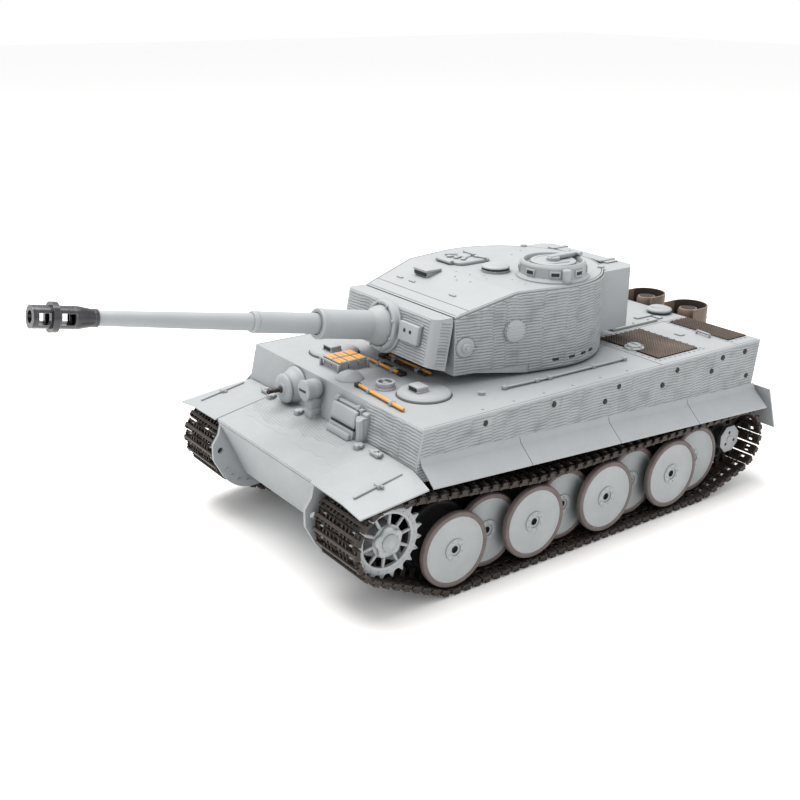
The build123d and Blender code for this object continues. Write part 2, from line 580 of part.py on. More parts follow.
def make_side_skirts():
    """Sheet skirts, front mudguards with their hinge rods, and rear flaps, on both sides."""
    pieces = []
    top_x = HULL_HALF_WIDTH + 0.1
    for front_y, rear_y in zip(SKIRT_SEAMS[:-1], SKIRT_SEAMS[1:]):
        ends = []
        for y in (front_y + SKIRT_SEAM_GAP / 2, rear_y - SKIRT_SEAM_GAP / 2):
            top = blend_between(y, SKIRT_TOP_FRONT_Z, SKIRT_TOP_REAR_Z)
            bottom = blend_between(y, SKIRT_BOTTOM_FRONT_Z, SKIRT_BOTTOM_REAR_Z)
            flange = (top_x + SKIRT_FLANGE_REACH, top - SKIRT_FLANGE)
            ends.append([(top_x, top), flange, (FENDER_HALF_WIDTH, bottom)])
        pieces.append(folded_strip(ends[0], ends[1], front_y + SKIRT_SEAM_GAP / 2,
                                   rear_y - SKIRT_SEAM_GAP / 2))
    inner_x = TUB_HALF_WIDTH + 0.3
    guard_rear_y = FRONT_PLATE_BOTTOM_Y - 0.4
    front = [(inner_x, GLACIS_FRONT_Z), (MUDGUARD_FOLD_X, MUDGUARD_FRONT_Z + 2.6),
             (FENDER_HALF_WIDTH, MUDGUARD_FRONT_Z)]
    rear = [(inner_x, FRONT_PLATE_BOTTOM_Z), (MUDGUARD_FOLD_X + 2, FRONT_PLATE_BOTTOM_Z - 0.8),
            (FENDER_HALF_WIDTH, SKIRT_BOTTOM_FRONT_Z)]
    pieces.append(folded_strip(front, rear, MUDGUARD_FRONT_Y, guard_rear_y))
    rod_rise = degrees(atan2(FRONT_PLATE_BOTTOM_Z - 0.8 - MUDGUARD_FRONT_Z - 2.6,
                             guard_rear_y - MUDGUARD_FRONT_Y))
    rod_middle = Pos(MUDGUARD_FOLD_X + 1, (MUDGUARD_FRONT_Y + guard_rear_y) / 2,
                     (FRONT_PLATE_BOTTOM_Z + MUDGUARD_FRONT_Z + 1.8) / 2 + 0.5)
    pieces.append(rod_middle * Rot(rod_rise, 0, 0) * Rot(90, 0, 0) * Cylinder(0.8, 34))
    flap_top_z = blend_between(SKIRT_SEAMS[-1], SKIRT_TOP_FRONT_Z, SKIRT_TOP_REAR_Z)
    pieces.append(side_profile([(SKIRT_SEAMS[-1] + 0.4, flap_top_z - 1.5),
                                (SKIRT_SEAMS[-1] + 1.6, flap_top_z - 1.5), (FLAP_TIP_Y, FLAP_TIP_Z + 0.4),
                                (FLAP_TIP_Y - 1.2, FLAP_TIP_Z)], TUB_HALF_WIDTH + 6, FENDER_HALF_WIDTH))
    return pieces + mirrored(pieces)


def make_engine_grilles():
    """Framed mesh panels over the radiator intakes and outlets."""
    pieces = []
    for y0, y1 in (FRONT_GRILLE_Y, REAR_GRILLE_Y):
        plate = block(GRILLE_INNER_X, GRILLE_OUTER_X, y0, y1, DECK_Z, DECK_Z + GRILLE_PLATE)
        pieces.append(plate)
    return pieces + mirrored(pieces)


def make_engine_hatch():
    """The access plate over the engine bay, with its two hinge straps and a lifting handle."""
    y0, y1 = ENGINE_HATCH_Y
    half = ENGINE_HATCH_HALF_WIDTH
    top = DECK_Z + ENGINE_HATCH_PLATE
    plate = block(-half, half, y0, y1, DECK_Z + FREE_FIT, top)
    solids = [plate]
    knuckle_y, knuckle_z = engine_hatch_hinge()
    strap_x, strap_half, strap_length = 15, 2, 14
    for x in (-strap_x, strap_x):
        strap = block(x - strap_half, x + strap_half, y1 - strap_length, knuckle_y, top,
                      DECK_Z + FREE_FIT + 2 * KNUCKLE_RADIUS)
        knuckle = rod_x(x - strap_half, x + strap_half, knuckle_y, knuckle_z, KNUCKLE_RADIUS) - plate
        solids.append(strap + knuckle)
    solids.append(block(-6, 6, y0 + 6, y0 + 8, top, top + 1.6))
    return solids


def make_deck_fittings():
    """Small fixed parts on the deck: domes, filler caps, brackets and the tray of track pads."""
    top = DECK_Z
    dome_y, dome_radius, dome_sink = -5.0, 9.5, 4.5
    dome = Pos(0, dome_y, top - dome_sink) * Sphere(dome_radius)
    solids = [dome & block(-dome_radius, dome_radius, dome_y - dome_radius, dome_y + dome_radius,
                           top, top + dome_radius)]

    cap_x, cap_y, cap_radius, cap_height, cap_lip = 28.0, 3.5, 6.0, 4.5, 1.4
    cap_floor = top + cap_height - 2.0
    solids.append(rod_z(top, top + cap_height, cap_x, cap_y, cap_radius)
                  - rod_z(cap_floor, top + cap_height + 1, cap_x, cap_y, cap_radius - cap_lip))
    solids.append(block(cap_x - 4, cap_x + 4, cap_y - 0.6, cap_y + 0.6, cap_floor, cap_floor + 1.2))

    tray_x0, tray_y0, pad_wide, pad_long, pad_gap, tray_thick = -33.4, -5.0, 9.4, 6.8, 0.8, 1.6
    columns, rows = 2, 3
    tray_x1 = tray_x0 + columns * (pad_wide + pad_gap) + pad_gap
    tray_y1 = tray_y0 + rows * (pad_long + pad_gap) + pad_gap
    solids.append(block(tray_x0, tray_x1, tray_y0, tray_y1, top, top + tray_thick))
    for column in range(columns):
        for row in range(rows):
            x0 = tray_x0 + pad_gap + column * (pad_wide + pad_gap)
            y0 = tray_y0 + pad_gap + row * (pad_long + pad_gap)
            solids.append(block(x0, x0 + pad_wide, y0, y0 + pad_long, top + tray_thick, top + 6.4))

    vent_x, vent_behind, vent_radius, vent_height = 7.5, 8.3, 5.5, 5.0
    solids.append(rod_z(top, top + vent_height, vent_x, REAR_TOP_Y - vent_behind, vent_radius))
    filler_x, filler_y, filler_radius, filler_height = 60.7, 195.4, 5.0, 2.6
    grille = block(GRILLE_INNER_X, GRILLE_OUTER_X, FRONT_GRILLE_Y[0], FRONT_GRILLE_Y[1], top, top + GRILLE_PLATE)
    peg_radius, peg_height, peg_x, peg_y = 2.2, 2.0, 72.0, 46.0
    for sign in (1, -1):
        solids.append(rod_z(top, top + filler_height, sign * filler_x, filler_y, filler_radius)
                      - on_side([grille], sign)[0])
        solids.append(rod_z(top, top + peg_height, sign * peg_x, peg_y, peg_radius))
    return solids


def deck_bar(start, end, radius, lift):
    """A round bar lying over the deck between two XY points, its middle at height lift."""
    across, along = end[0] - start[0], end[1] - start[1]
    middle = Pos((start[0] + end[0]) / 2, (start[1] + end[1]) / 2, DECK_Z + lift)
    turn = degrees(atan2(along, across))
    return middle * Rot(0, 0, turn) * Rot(0, 90, 0) * Cylinder(radius, hypot(across, along))


def deck_clips(bars, places, lift):
    """Spring clips that stand on the deck and hold the bars."""
    half_wide, half_long = 1.2, 2.2
    clips = []
    for x, y in places:
        clip = block(x - half_wide, x + half_wide, y - half_long, y + half_long, DECK_Z, DECK_Z + 2 * lift)
        for bar in bars:
            clip -= bar
        clips.append(clip)
    return clips


def make_deck_tools():
    """Wood-handled tools at the front of the deck and steel rods along the turret's sides."""
    handle_radius, handle_lift = 1.1, 1.6
    handles = [deck_bar((17, -9.5), (69, -12), handle_radius, handle_lift),
               deck_bar((-20, 41), (26, 41), handle_radius, handle_lift),
               deck_bar((-22, 25), (12, 25), handle_radius, handle_lift)]
    solids = handles + deck_clips(handles, ((30, -10.1), (56, -11.4), (-10, 41), (16, 41), (-14, 25), (4, 25)),
                                  handle_lift)
    rod_radius, rod_lift = 0.9, 1.3
    rods = [deck_bar((73, 63), (75, 100), rod_radius, rod_lift),
            deck_bar((75, 101), (76, 170), rod_radius, rod_lift)]
    rods += deck_clips(rods, ((74.5, 90), (75.6, 140)), rod_lift)
    return solids + rods + mirrored(rods)


def glacis_z(y):
    share = (y - GLACIS_FRONT_Y) / (FRONT_PLATE_BOTTOM_Y - GLACIS_FRONT_Y)
    return GLACIS_FRONT_Z + share * (FRONT_PLATE_BOTTOM_Z - GLACIS_FRONT_Z)


def front_plate_y(z):
    share = (z - FRONT_PLATE_BOTTOM_Z) / (DECK_Z - FRONT_PLATE_BOTTOM_Z)
    return FRONT_PLATE_BOTTOM_Y + share * (FRONT_PLATE_TOP_Y - FRONT_PLATE_BOTTOM_Y)


def hull_front_mass():
    """Everything below the glacis and behind the front plate, to trim what sits on them."""
    return side_profile([(GLACIS_FRONT_Y, GLACIS_FRONT_Z), (FRONT_PLATE_BOTTOM_Y, FRONT_PLATE_BOTTOM_Z),
                         (FRONT_PLATE_TOP_Y, DECK_Z), (FRONT_PLATE_TOP_Y + 30, DECK_Z),
                         (FRONT_PLATE_TOP_Y + 30, HULL_BOTTOM_Z), (GLACIS_FRONT_Y, HULL_BOTTOM_Z)], -90, 90)


def make_front_fittings():
    """Driver's visor with the housing beside it, headlamp, gun-mount bulge and glacis brackets."""
    plate_lean = degrees(atan2(FRONT_PLATE_TOP_Y - FRONT_PLATE_BOTTOM_Y, DECK_Z - FRONT_PLATE_BOTTOM_Z))
    visor_middle_z = (VISOR_TOP_Z + VISOR_BOTTOM_Z) / 2
    visor_half = (VISOR_TOP_Z - VISOR_BOTTOM_Z) / 2
    slit = VISOR_SLIT_Z - visor_middle_z
    place = Pos(VISOR_X, front_plate_y(visor_middle_z), visor_middle_z) * Rot(-plate_lean, 0, 0)
    frame_depth, lip, slit_half, sink = 2.6, 1.4, 0.7, 1.0
    wide = VISOR_HALF_WIDTH
    solids = [place * block(-wide, wide, -frame_depth, sink, -visor_half, visor_half),
              place * block(-wide + lip, wide - lip, -VISOR_DEPTH, -frame_depth, slit + slit_half, visor_half - 2 * lip),
              place * block(-wide + lip, wide - lip, -VISOR_DEPTH + lip, -frame_depth,
                            -visor_half + lip, slit - slit_half)]
    post_low, post_high = VISOR_POST_Z
    post_back = front_plate_y(post_high) + sink
    post = block(VISOR_POST_X - VISOR_POST_HALF_WIDTH, VISOR_POST_X + VISOR_POST_HALF_WIDTH,
                 front_plate_y(post_high) - VISOR_POST_DEPTH, post_back, post_low, post_high)
    post = chamfer(post.edges().filter_by(Axis.Z).sort_by(Axis.Y)[:2], 1.6)
    solids.append(chamfer(post.edges().filter_by(Axis.X).group_by(Axis.Z)[-1].sort_by(Axis.Y)[:1], 2.0))
    bulge = Pos(MG_X, mg_centre_y(), MG_Z) * Sphere(MG_BULGE_RADIUS)
    bulge -= rod_y(-60, 0, MG_X, MG_Z, MG_BALL_RADIUS + MG_PORT_CLEARANCE)
    solids.append(bulge)
    lamp_rear_y = LAMP_FRONT_Y + LAMP_LENGTH
    post_y = LAMP_FRONT_Y + 0.55 * LAMP_LENGTH
    solids.append(rod_z(FRONT_PLATE_BOTTOM_Z - 3, LAMP_Z, LAMP_X, post_y, LAMP_POST_RADIUS)
                  - rod_y(LAMP_FRONT_Y, lamp_rear_y + 9, LAMP_X, LAMP_Z, LAMP_RADIUS))
    bracket_half, bracket_y, bracket_high = 2.0, (-34.0, -29.0), 2.2
    for x in (-20, 50, -56):
        solids.append(block(x - bracket_half, x + bracket_half, bracket_y[0], bracket_y[1],
                            glacis_z(bracket_y[0]) - 1, glacis_z(bracket_y[1]) + bracket_high))
    solids = [solid - hull_front_mass() for solid in solids]
    lamp = rod_y(LAMP_FRONT_Y, lamp_rear_y, LAMP_X, LAMP_Z, LAMP_RADIUS)
    solids.append(fillet(lamp.edges().filter_by(GeomType.CIRCLE).sort_by(Axis.Y)[-1:], 0.7 * LAMP_RADIUS)
                  - hull_front_mass())
    seat_half = 1.5
    seat = rod_y(mg_centre_y() - seat_half, mg_centre_y() + seat_half, MG_X, MG_Z,
                 MG_BALL_RADIUS + MG_PORT_CLEARANCE)
    solids.append(seat - Pos(MG_X, mg_centre_y(), MG_Z) * Sphere(MG_BALL_RADIUS + RUNNING_FIT))
    return solids


def mg_centre_y():
    """The gun ball sits a little behind the face of the front plate."""
    return front_plate_y(MG_Z) + 1.2


def make_hull_mg():
    """The ball with its gun barrel and jacket."""
    y = mg_centre_y()
    ball = Pos(MG_X, y, MG_Z) * Sphere(MG_BALL_RADIUS)
    face_y = y - MG_BALL_RADIUS
    barrel = rod_y(y - MG_BARREL_TIP, face_y + 0.5, MG_X, MG_Z, MG_BARREL_RADIUS)
    jacket = rod_y(face_y - 4.5, face_y + MG_PORT_CLEARANCE, MG_X, MG_Z, MG_JACKET_RADIUS)
    return [ball + jacket + barrel]


def hull_rear_mass():
    """Everything in front of the rear plate's face, to trim what is fixed to it."""
    return side_profile([(REAR_BOTTOM_Y, HULL_BOTTOM_Z), (REAR_BOTTOM_Y, SPONSON_Z - 2), (REAR_TOP_Y, DECK_Z),
                         (REAR_TOP_Y, DECK_Z + 20), (REAR_TOP_Y - 40, DECK_Z + 20),
                         (REAR_TOP_Y - 40, HULL_BOTTOM_Z)], 0, HULL_HALF_WIDTH)


def make_exhausts():
    """Two upright stacks on the rear plate, each behind a half-round sheet shroud with an open top."""
    x, y = EXHAUST_X, EXHAUST_Y
    inner = EXHAUST_RADIUS - EXHAUST_SHEET
    shroud = rod_z(EXHAUST_BOTTOM_Z, EXHAUST_TOP_Z, x, y, EXHAUST_RADIUS)
    shroud += block(x - EXHAUST_RADIUS, x + EXHAUST_RADIUS, REAR_BOTTOM_Y - 5, y, EXHAUST_BOTTOM_Z, EXHAUST_TOP_Z)
    shroud -= rod_z(EXHAUST_BOTTOM_Z - 1, EXHAUST_TOP_Z + 1, x, y, inner)
    shroud -= block(x - inner, x + inner, REAR_BOTTOM_Y - 6, y, EXHAUST_BOTTOM_Z - 1, EXHAUST_TOP_Z + 1)
    pieces = (shroud - hull_rear_mass()).solids()
    stack = rod_z(EXHAUST_BOTTOM_Z + 4, STACK_TOP_Z, x, y, STACK_RADIUS)
    stack = chamfer(stack.edges().filter_by(GeomType.CIRCLE).sort_by(Axis.Z)[-1:], 1.6)
    pieces.append(stack)
    for low_z in (EXHAUST_BOTTOM_Z + 8, SPONSON_Z + 8):
        bracket = block(x - 5, x + 5, REAR_BOTTOM_Y - 5, y - 4, low_z, low_z + 3)
        bracket -= rod_z(low_z - 5, low_z + 5, x, y, STACK_RADIUS)
        pieces.extend((bracket - hull_rear_mass()).solids())
    return list(pieces) + mirrored(pieces)


def make_crew_hatch():
    """A round lid with a periscope guard that swings sideways, clear of the gun, on a pin in the deck."""
    base = DECK_Z + FREE_FIT
    lid = rod_z(base, base + HATCH_PLATE, HATCH_X, HATCH_Y, HATCH_RADIUS)
    lid = chamfer(lid.edges().filter_by(GeomType.CIRCLE).sort_by(Axis.Z)[-1:], 0.8)
    pin_x, pin_y = crew_hatch_pin()
    lid += rod_z(DECK_Z - WALL - 1, base + 0.5, pin_x, pin_y, HATCH_PIN_RADIUS)
    guard = block(HATCH_X - 7, HATCH_X + 3, HATCH_Y - 7, HATCH_Y + 1, base + HATCH_PLATE,
                  base + HATCH_PLATE + HATCH_GUARD_HEIGHT)
    return [lid, guard]


def crew_hatch_pin():
    """X and Y of the left crew hatch's swivel pin."""
    angle = radians(HATCH_PIN_ANGLE)
    return HATCH_X + HATCH_PIN_REACH * cos(angle), HATCH_Y + HATCH_PIN_REACH * sin(angle)


def engine_hatch_hinge():
    """Y and Z of the engine hatch's hinge line, behind it so that it clears the turret bin."""
    return ENGINE_HATCH_Y[1] + 2.0, DECK_Z + FREE_FIT + KNUCKLE_RADIUS


def loader_hatch_hinge():
    """Y and Z of the loader's hatch hinge line."""
    return LOADER_Y - LOADER_HALF - 2.0, TURRET_ROOF_Z + FREE_FIT + KNUCKLE_RADIUS


def commander_hatch_hinge():
    """Y and Z of the commander's hatch hinge line."""
    return CUPOLA_Y + CUPOLA_RADIUS - 1.5, CUPOLA_TOP_Z + FREE_FIT + KNUCKLE_RADIUS


# -------------------------------------------------------------------- interior

def make_drive_units():
    """Left and right gearboxes with their motors, each turning one sprocket."""
    inner_wall = TUB_HALF_WIDTH - WALL
    shaft_tip = TUB_HALF_WIDTH - 14
    gearbox = block(14, inner_wall, SPROCKET_Y + 8, 0, 38, 70)
    gearbox += rod_x(30, inner_wall, SPROCKET_Y, SPROCKET_Z, DRIVE_SHAFT_RADIUS + 1.8)
    gearbox += block(30, inner_wall, SPROCKET_Y, SPROCKET_Y + 8, SPROCKET_Z - 5, SPROCKET_Z + 5)
    gearbox -= rod_x(shaft_tip - 1, TUB_HALF_WIDTH, SPROCKET_Y, SPROCKET_Z, DRIVE_SHAFT_RADIUS + RUNNING_FIT)
    motor = rod_y(0, 38, 32, 52, 13.8)
    pieces = [gearbox, motor]
    return pieces + mirrored(pieces)


def make_electronics():
    """Battery pack of six cells in a tray, the receiver board, and a speaker."""
    floor = HULL_BOTTOM_Z + WALL
    solids = [block(-36, 36, 150, 222, floor, floor + 2)]
    for row in range(2):
        for column in range(3):
            x = -23.2 + column * 23.2
            solids.append(rod_y(152, 186, x, floor + 13.6, 11.5) if row == 0 else
                          rod_y(186.4, 220, x, floor + 13.6, 11.5))
    solids.append(block(-40, 40, 62, 128, floor + 4, floor + 6))
    for x in (-30, 30):
        solids.append(rod_z(floor, floor + 4, x, 72, 2.5))
        solids.append(rod_z(floor, floor + 4, x, 118, 2.5))
    solids.append(block(-12, 12, 84, 104, floor + 6, floor + 10))
    solids.append(rod_z(floor, floor + 11, 0, 244, 20))
    return solids


# ---------------------------------------------------------------------- turret

def horseshoe(inset):
    """Plan of the turret: a flat front, straight cheeks and a round back, shrunk by inset."""
    radius = TURRET_RADIUS - inset
    half = TURRET_FRONT_HALF_WIDTH - inset
    front = TURRET_FRONT_Y + inset
    down = TURRET_Y - front
    reach = hypot(half, down)
    toward = atan2(-down, half)
    angle = toward + acos(radius / reach)
    touch = (radius * cos(angle), TURRET_Y + radius * sin(angle))
    back = (0, TURRET_Y + radius)
    edges = (Line((-half, front), (half, front)) + Line((half, front), touch)
             + ThreePointArc(touch, back, (-touch[0], touch[1])) + Line((-touch[0], touch[1]), (-half, front)))
    return make_face(edges)


def roof_cutter(drop):
    """Everything above the turret's roof line, lowered by drop."""
    return side_profile([(TURRET_FRONT_Y - 30, TURRET_FRONT_ROOF_Z - drop - 7.7),
                         (ROOF_BEND_Y, TURRET_ROOF_Z - drop), (TURRET_Y + 90, TURRET_ROOF_Z - drop),
                         (TURRET_Y + 90, TURRET_ROOF_Z + 40), (TURRET_FRONT_Y - 30, TURRET_ROOF_Z + 40)],
                        -90, 90)


def make_turret_shell():
    """Walls and floor of the turret in one shell, its ring, and the separate roof plate."""
    tall = TURRET_ROOF_Z - TURRET_BOTTOM_Z
    shell = Pos(0, 0, TURRET_BOTTOM_Z) * extrude(horseshoe(0), tall)
    shell -= Pos(0, 0, TURRET_BOTTOM_Z + WALL) * extrude(horseshoe(WALL), tall)
    shell -= roof_cutter(WALL)
    shell -= block(-TURRET_WINDOW_HALF_WIDTH, TURRET_WINDOW_HALF_WIDTH, TURRET_FRONT_Y - 1,
                   TURRET_FRONT_Y + WALL + 1, TURRET_BOTTOM_Z + 3, TURRET_WINDOW_TOP_Z)
    ring_outer = RING_RADIUS - RING_CLEARANCE
    shell += rod_z(DECK_Z - 6, TURRET_BOTTOM_Z + 0.5, 0, TURRET_Y, ring_outer)
    shell -= rod_z(DECK_Z - 10, TURRET_BOTTOM_Z + WALL + 1, 0, TURRET_Y, ring_outer - 4)
    roof = Pos(0, 0, TURRET_BOTTOM_Z) * extrude(horseshoe(0.6), tall + 1)
    roof -= roof_cutter(0)
    roof &= roof_cutter(WALL)
    roof -= rod_z(TURRET_ROOF_Z - 10, TURRET_ROOF_Z + 5, CUPOLA_X, CUPOLA_Y, CUPOLA_RADIUS - CUPOLA_WALL)
    roof -= block(LOADER_X - LOADER_HALF + 3, LOADER_X + LOADER_HALF - 3, LOADER_Y - LOADER_HALF + 3,
                  LOADER_Y + LOADER_HALF - 3, TURRET_ROOF_Z - 8, TURRET_ROOF_Z + 5)
    vent_x, vent_y, vent_radius, vent_height = 6.0, 111.0, 9.5, 4.6
    vent = rod_z(TURRET_ROOF_Z, TURRET_ROOF_Z + vent_height, vent_x, vent_y, vent_radius)
    vent = chamfer(vent.edges().filter_by(GeomType.CIRCLE).sort_by(Axis.Z)[-1:], 2.0)
    scope_x, scope_y, scope_top = (-30.0, -17.0), (70.0, 81.0), TURRET_ROOF_Z + 1.2
    scope = block(scope_x[0], scope_x[1], scope_y[0], scope_y[1], TURRET_FRONT_ROOF_Z, scope_top) & roof_cutter(0)
    bracket = block(TRUNNION_BRACKET_X[0], TRUNNION_BRACKET_X[1], TURRET_FRONT_Y + 0.5, PIVOT_Y + 8,
                    TURRET_BOTTOM_Z + WALL - 0.2, PIVOT_Z + 2 * TRUNNION_RADIUS)
    bracket -= rod_x(TRUNNION_BRACKET_X[0] - 4, TRUNNION_BRACKET_X[1] + 4, PIVOT_Y, PIVOT_Z,
                     TRUNNION_RADIUS + RUNNING_FIT)
    for piece in [bracket] + mirrored([bracket]):
        shell += piece
    return [shell, roof, vent, scope]


def make_turret_bin():
    """The stowage bin that wraps the back of the turret."""
    plan = [(-BIN_HALF_WIDTH, TURRET_Y + 30), (-BIN_HALF_WIDTH, BIN_CORNER_Y),
            (-BIN_REAR_HALF_WIDTH, BIN_REAR_Y), (BIN_REAR_HALF_WIDTH, BIN_REAR_Y),
            (BIN_HALF_WIDTH, BIN_CORNER_Y), (BIN_HALF_WIDTH, TURRET_Y + 30)]
    box = plan_profile(plan, BIN_BOTTOM_Z, BIN_TOP_Z)
    box -= rod_z(BIN_BOTTOM_Z - 5, BIN_TOP_Z + 5, 0, TURRET_Y, TURRET_RADIUS + 0.05)
    room = plan_profile([(x - BIN_WALL * (1 if x > 0 else -1), y - (BIN_WALL if y > BIN_CORNER_Y - 1 else 0))
                         for x, y in plan], BIN_BOTTOM_Z + BIN_WALL, BIN_TOP_Z - BIN_WALL)
    room -= rod_z(BIN_BOTTOM_Z - 5, BIN_TOP_Z + 5, 0, TURRET_Y, TURRET_RADIUS + BIN_WALL)
    box -= room
    lid_inset, lid_thick = 10.0, 1.0
    lid = block(-BIN_REAR_HALF_WIDTH + lid_inset, BIN_REAR_HALF_WIDTH - lid_inset, BIN_REAR_Y - 1.4 * lid_inset,
                BIN_REAR_Y - 3 * lid_thick, BIN_TOP_Z, BIN_TOP_Z + lid_thick)
    return [box, lid]


def make_cupola():
    """The commander's ring with seven viewing slots and its rail."""
    low = TURRET_ROOF_Z
    ring = rod_z(low, CUPOLA_TOP_Z, CUPOLA_X, CUPOLA_Y, CUPOLA_RADIUS)
    ring += rod_z(low, low + 2.4, CUPOLA_X, CUPOLA_Y, CUPOLA_RADIUS + 2.4)
    ring -= rod_z(low - 1, CUPOLA_TOP_Z + 1, CUPOLA_X, CUPOLA_Y, CUPOLA_RADIUS - CUPOLA_WALL)
    slot = block(CUPOLA_RADIUS - CUPOLA_WALL - 1, CUPOLA_RADIUS + 1, -3.0, 3.0, low + 4.2, low + 7.2)
    for count in range(7):
        turned = Rot(0, 0, count * 360 / 7 - 62) * slot
        ring -= Pos(CUPOLA_X, CUPOLA_Y, 0) * turned
    return [ring]


def make_commander_hatch():
    """The round lid inside the cupola rim, hung from an arm that hinges on the rim."""
    knuckle_y, knuckle_z = commander_hatch_hinge()
    base = CUPOLA_TOP_Z - COMMANDER_LID_DROP
    lid = rod_z(base, base + 1.6, CUPOLA_X, CUPOLA_Y, COMMANDER_LID_RADIUS)
    arm_low = CUPOLA_TOP_Z + FREE_FIT
    arm = block(CUPOLA_X - 2.2, CUPOLA_X + 2.2, CUPOLA_Y - 4, knuckle_y, arm_low,
                arm_low + 2 * KNUCKLE_RADIUS)
    arm += rod_x(CUPOLA_X - 5, CUPOLA_X + 5, knuckle_y, knuckle_z, KNUCKLE_RADIUS)
    post = rod_z(base + 1.6, arm_low, CUPOLA_X, CUPOLA_Y, 2.2)
    return [lid, arm, post]


def make_loader_hatch():
    """The loader's lid with its hinge knuckle and handle."""
    base = TURRET_ROOF_Z + FREE_FIT
    knuckle_y, knuckle_z = loader_hatch_hinge()
    lid = block(LOADER_X - LOADER_HALF, LOADER_X + LOADER_HALF, LOADER_Y - LOADER_HALF,
                LOADER_Y + LOADER_HALF, base, base + 2.2)
    lid = fillet(lid.edges().filter_by(Axis.Z), 6)
    lid = chamfer(lid.edges().group_by(Axis.Z)[-1], 0.7)
    lug = block(LOADER_X - 8, LOADER_X + 8, knuckle_y, LOADER_Y - LOADER_HALF, base,
                base + 2 * KNUCKLE_RADIUS)
    lug += rod_x(LOADER_X - 8, LOADER_X + 8, knuckle_y, knuckle_z, KNUCKLE_RADIUS)
    handle = block(LOADER_X - 6, LOADER_X + 6, LOADER_Y + 5, LOADER_Y + 7, base + 2.2, base + 4.2)
    return [lid, lug, handle]


# ------------------------------------------------------------------------- gun

def raised(solids):
    """Gun parts, modelled level with their axis on the trunnions, lifted to the rest pose."""
    lift = Pos(0, PIVOT_Y, PIVOT_Z) * Rot(-REST_ELEVATION, 0, 0)
    return [lift * solid for solid in solids]


def make_mantlet():
    """The cast shield with its sight box, gun sleeve, trunnions and the cradle behind it."""
    half = MANTLET_HALF_WIDTH
    back, front = -MANTLET_BACK, -MANTLET_FRONT
    shield = side_profile([(back, -MANTLET_DOWN), (front, -MANTLET_DOWN + 2), (front, MANTLET_UP - 2),
                           (back - 1.2, MANTLET_UP), (back, MANTLET_UP - 5)], -half, half)
    shield = fillet(shield.edges().filter_by(Axis.Z).sort_by(Axis.Y)[:2], 4.5)
    bulge = rod_y(front - 3.4, front, 0, 0, 16.5)
    shield += bulge
    sleeve = rod_y(-SLEEVE_END, front - 3.4, 0, 0, SLEEVE_RADIUS)
    sleeve = chamfer(sleeve.edges().filter_by(GeomType.CIRCLE).sort_by(Axis.Y)[:1], 0.9)
    swell = Pos(0, front - 3.4, 0) * Rot(90, 0, 0) * Pos(0, 0, 4.5) * Cone(13.2, SLEEVE_RADIUS, 9)
    shield += sleeve + swell
    sight_x, sight_depth, sight_z = (20.0, 38.0), 3.0, (-3.5, 7.5)
    shield += block(sight_x[0], sight_x[1], front - sight_depth, front, sight_z[0], sight_z[1])
    cradle_half, cradle_rear = 16.0, 8.5
    shield += block(-cradle_half, cradle_half, back - 1, cradle_rear, -12, 12)
    shield -= rod_y(-SLEEVE_END - 1, cradle_rear + 0.5, 0, 0, SLEEVE_BORE_RADIUS)
    for eye_x in (sight_x[0] + 5.5, sight_x[0] + 11.5):
        shield -= rod_y(front - 4, front + 4, eye_x, 3, 1.2)
    coax = rod_y(front - 6, front, -24, 1.5, 1.8)
    pin = rod_x(cradle_half, TRUNNION_REACH, 0, 0, TRUNNION_RADIUS)
    back_cap = rod_y(cradle_rear, cradle_rear + 5.5, 0, 0, 9.5)
    return raised([shield, coax, back_cap, pin] + mirrored([pin]))


def make_barrel():
    """The recoiling barrel: breech end, thick collar and the tapering tube."""
    breech_y = -4.2
    inside = rod_y(-SLEEVE_END - 0.2, breech_y, 0, 0, SLEEVE_BORE_RADIUS - RUNNING_FIT)
    collar = rod_y(-COLLAR_END, -SLEEVE_END - 0.2, 0, 0, COLLAR_RADIUS)
    collar = chamfer(collar.edges().filter_by(GeomType.CIRCLE).sort_by(Axis.Y)[:1], 0.8)
    length = TUBE_END - COLLAR_END
    tube = Pos(0, -(COLLAR_END + TUBE_END) / 2, 0) * Rot(90, 0, 0) * Cone(TUBE_ROOT_RADIUS, TUBE_TIP_RADIUS,
                                                                       length)
    whole = inside + collar + tube
    whole -= rod_y(-TUBE_END - 1, -TUBE_END + 30, 0, 0, BORE_RADIUS)
    return raised([whole])


def make_muzzle_brake():
    """The two-chamber muzzle brake screwed on the tube."""
    start = TUBE_END
    body = rod_y(-start - 3, -start, 0, 0, TUBE_TIP_RADIUS + 0.7)
    rear = Pos(0, -start - 7, 0) * Rot(90, 0, 0) * Cone(TUBE_TIP_RADIUS + 0.7, BRAKE_RADIUS, 8)
    body += rear
    body += rod_y(-BRAKE_FLANGE, -start - 11, 0, 0, BRAKE_RADIUS)
    body += rod_y(-BRAKE_FLANGE - 2.4, -BRAKE_FLANGE + 1.2, 0, 0, BRAKE_FLANGE_RADIUS)
    body += rod_y(-BRAKE_END, -BRAKE_FLANGE - 2.4, 0, 0, BRAKE_RADIUS)
    for y0, y1 in ((start + 13, BRAKE_FLANGE - 2.6), (BRAKE_FLANGE + 3.4, BRAKE_END - 2.6)):
        body -= block(-12, 12, -y1, -y0, -3.2, 3.2)
    body -= rod_y(-BRAKE_END - 1, -start + 1, 0, 0, BORE_RADIUS + 0.9)
    return raised([body])


def length_middle():
    """Half way between the muzzle's foremost rim and the back of the exhaust shrouds."""
    tilt = radians(REST_ELEVATION)
    foremost = PIVOT_Y - BRAKE_END * cos(tilt) - BRAKE_RADIUS * sin(tilt)
    rearmost = EXHAUST_Y + EXHAUST_RADIUS
    return (foremost + rearmost) / 2


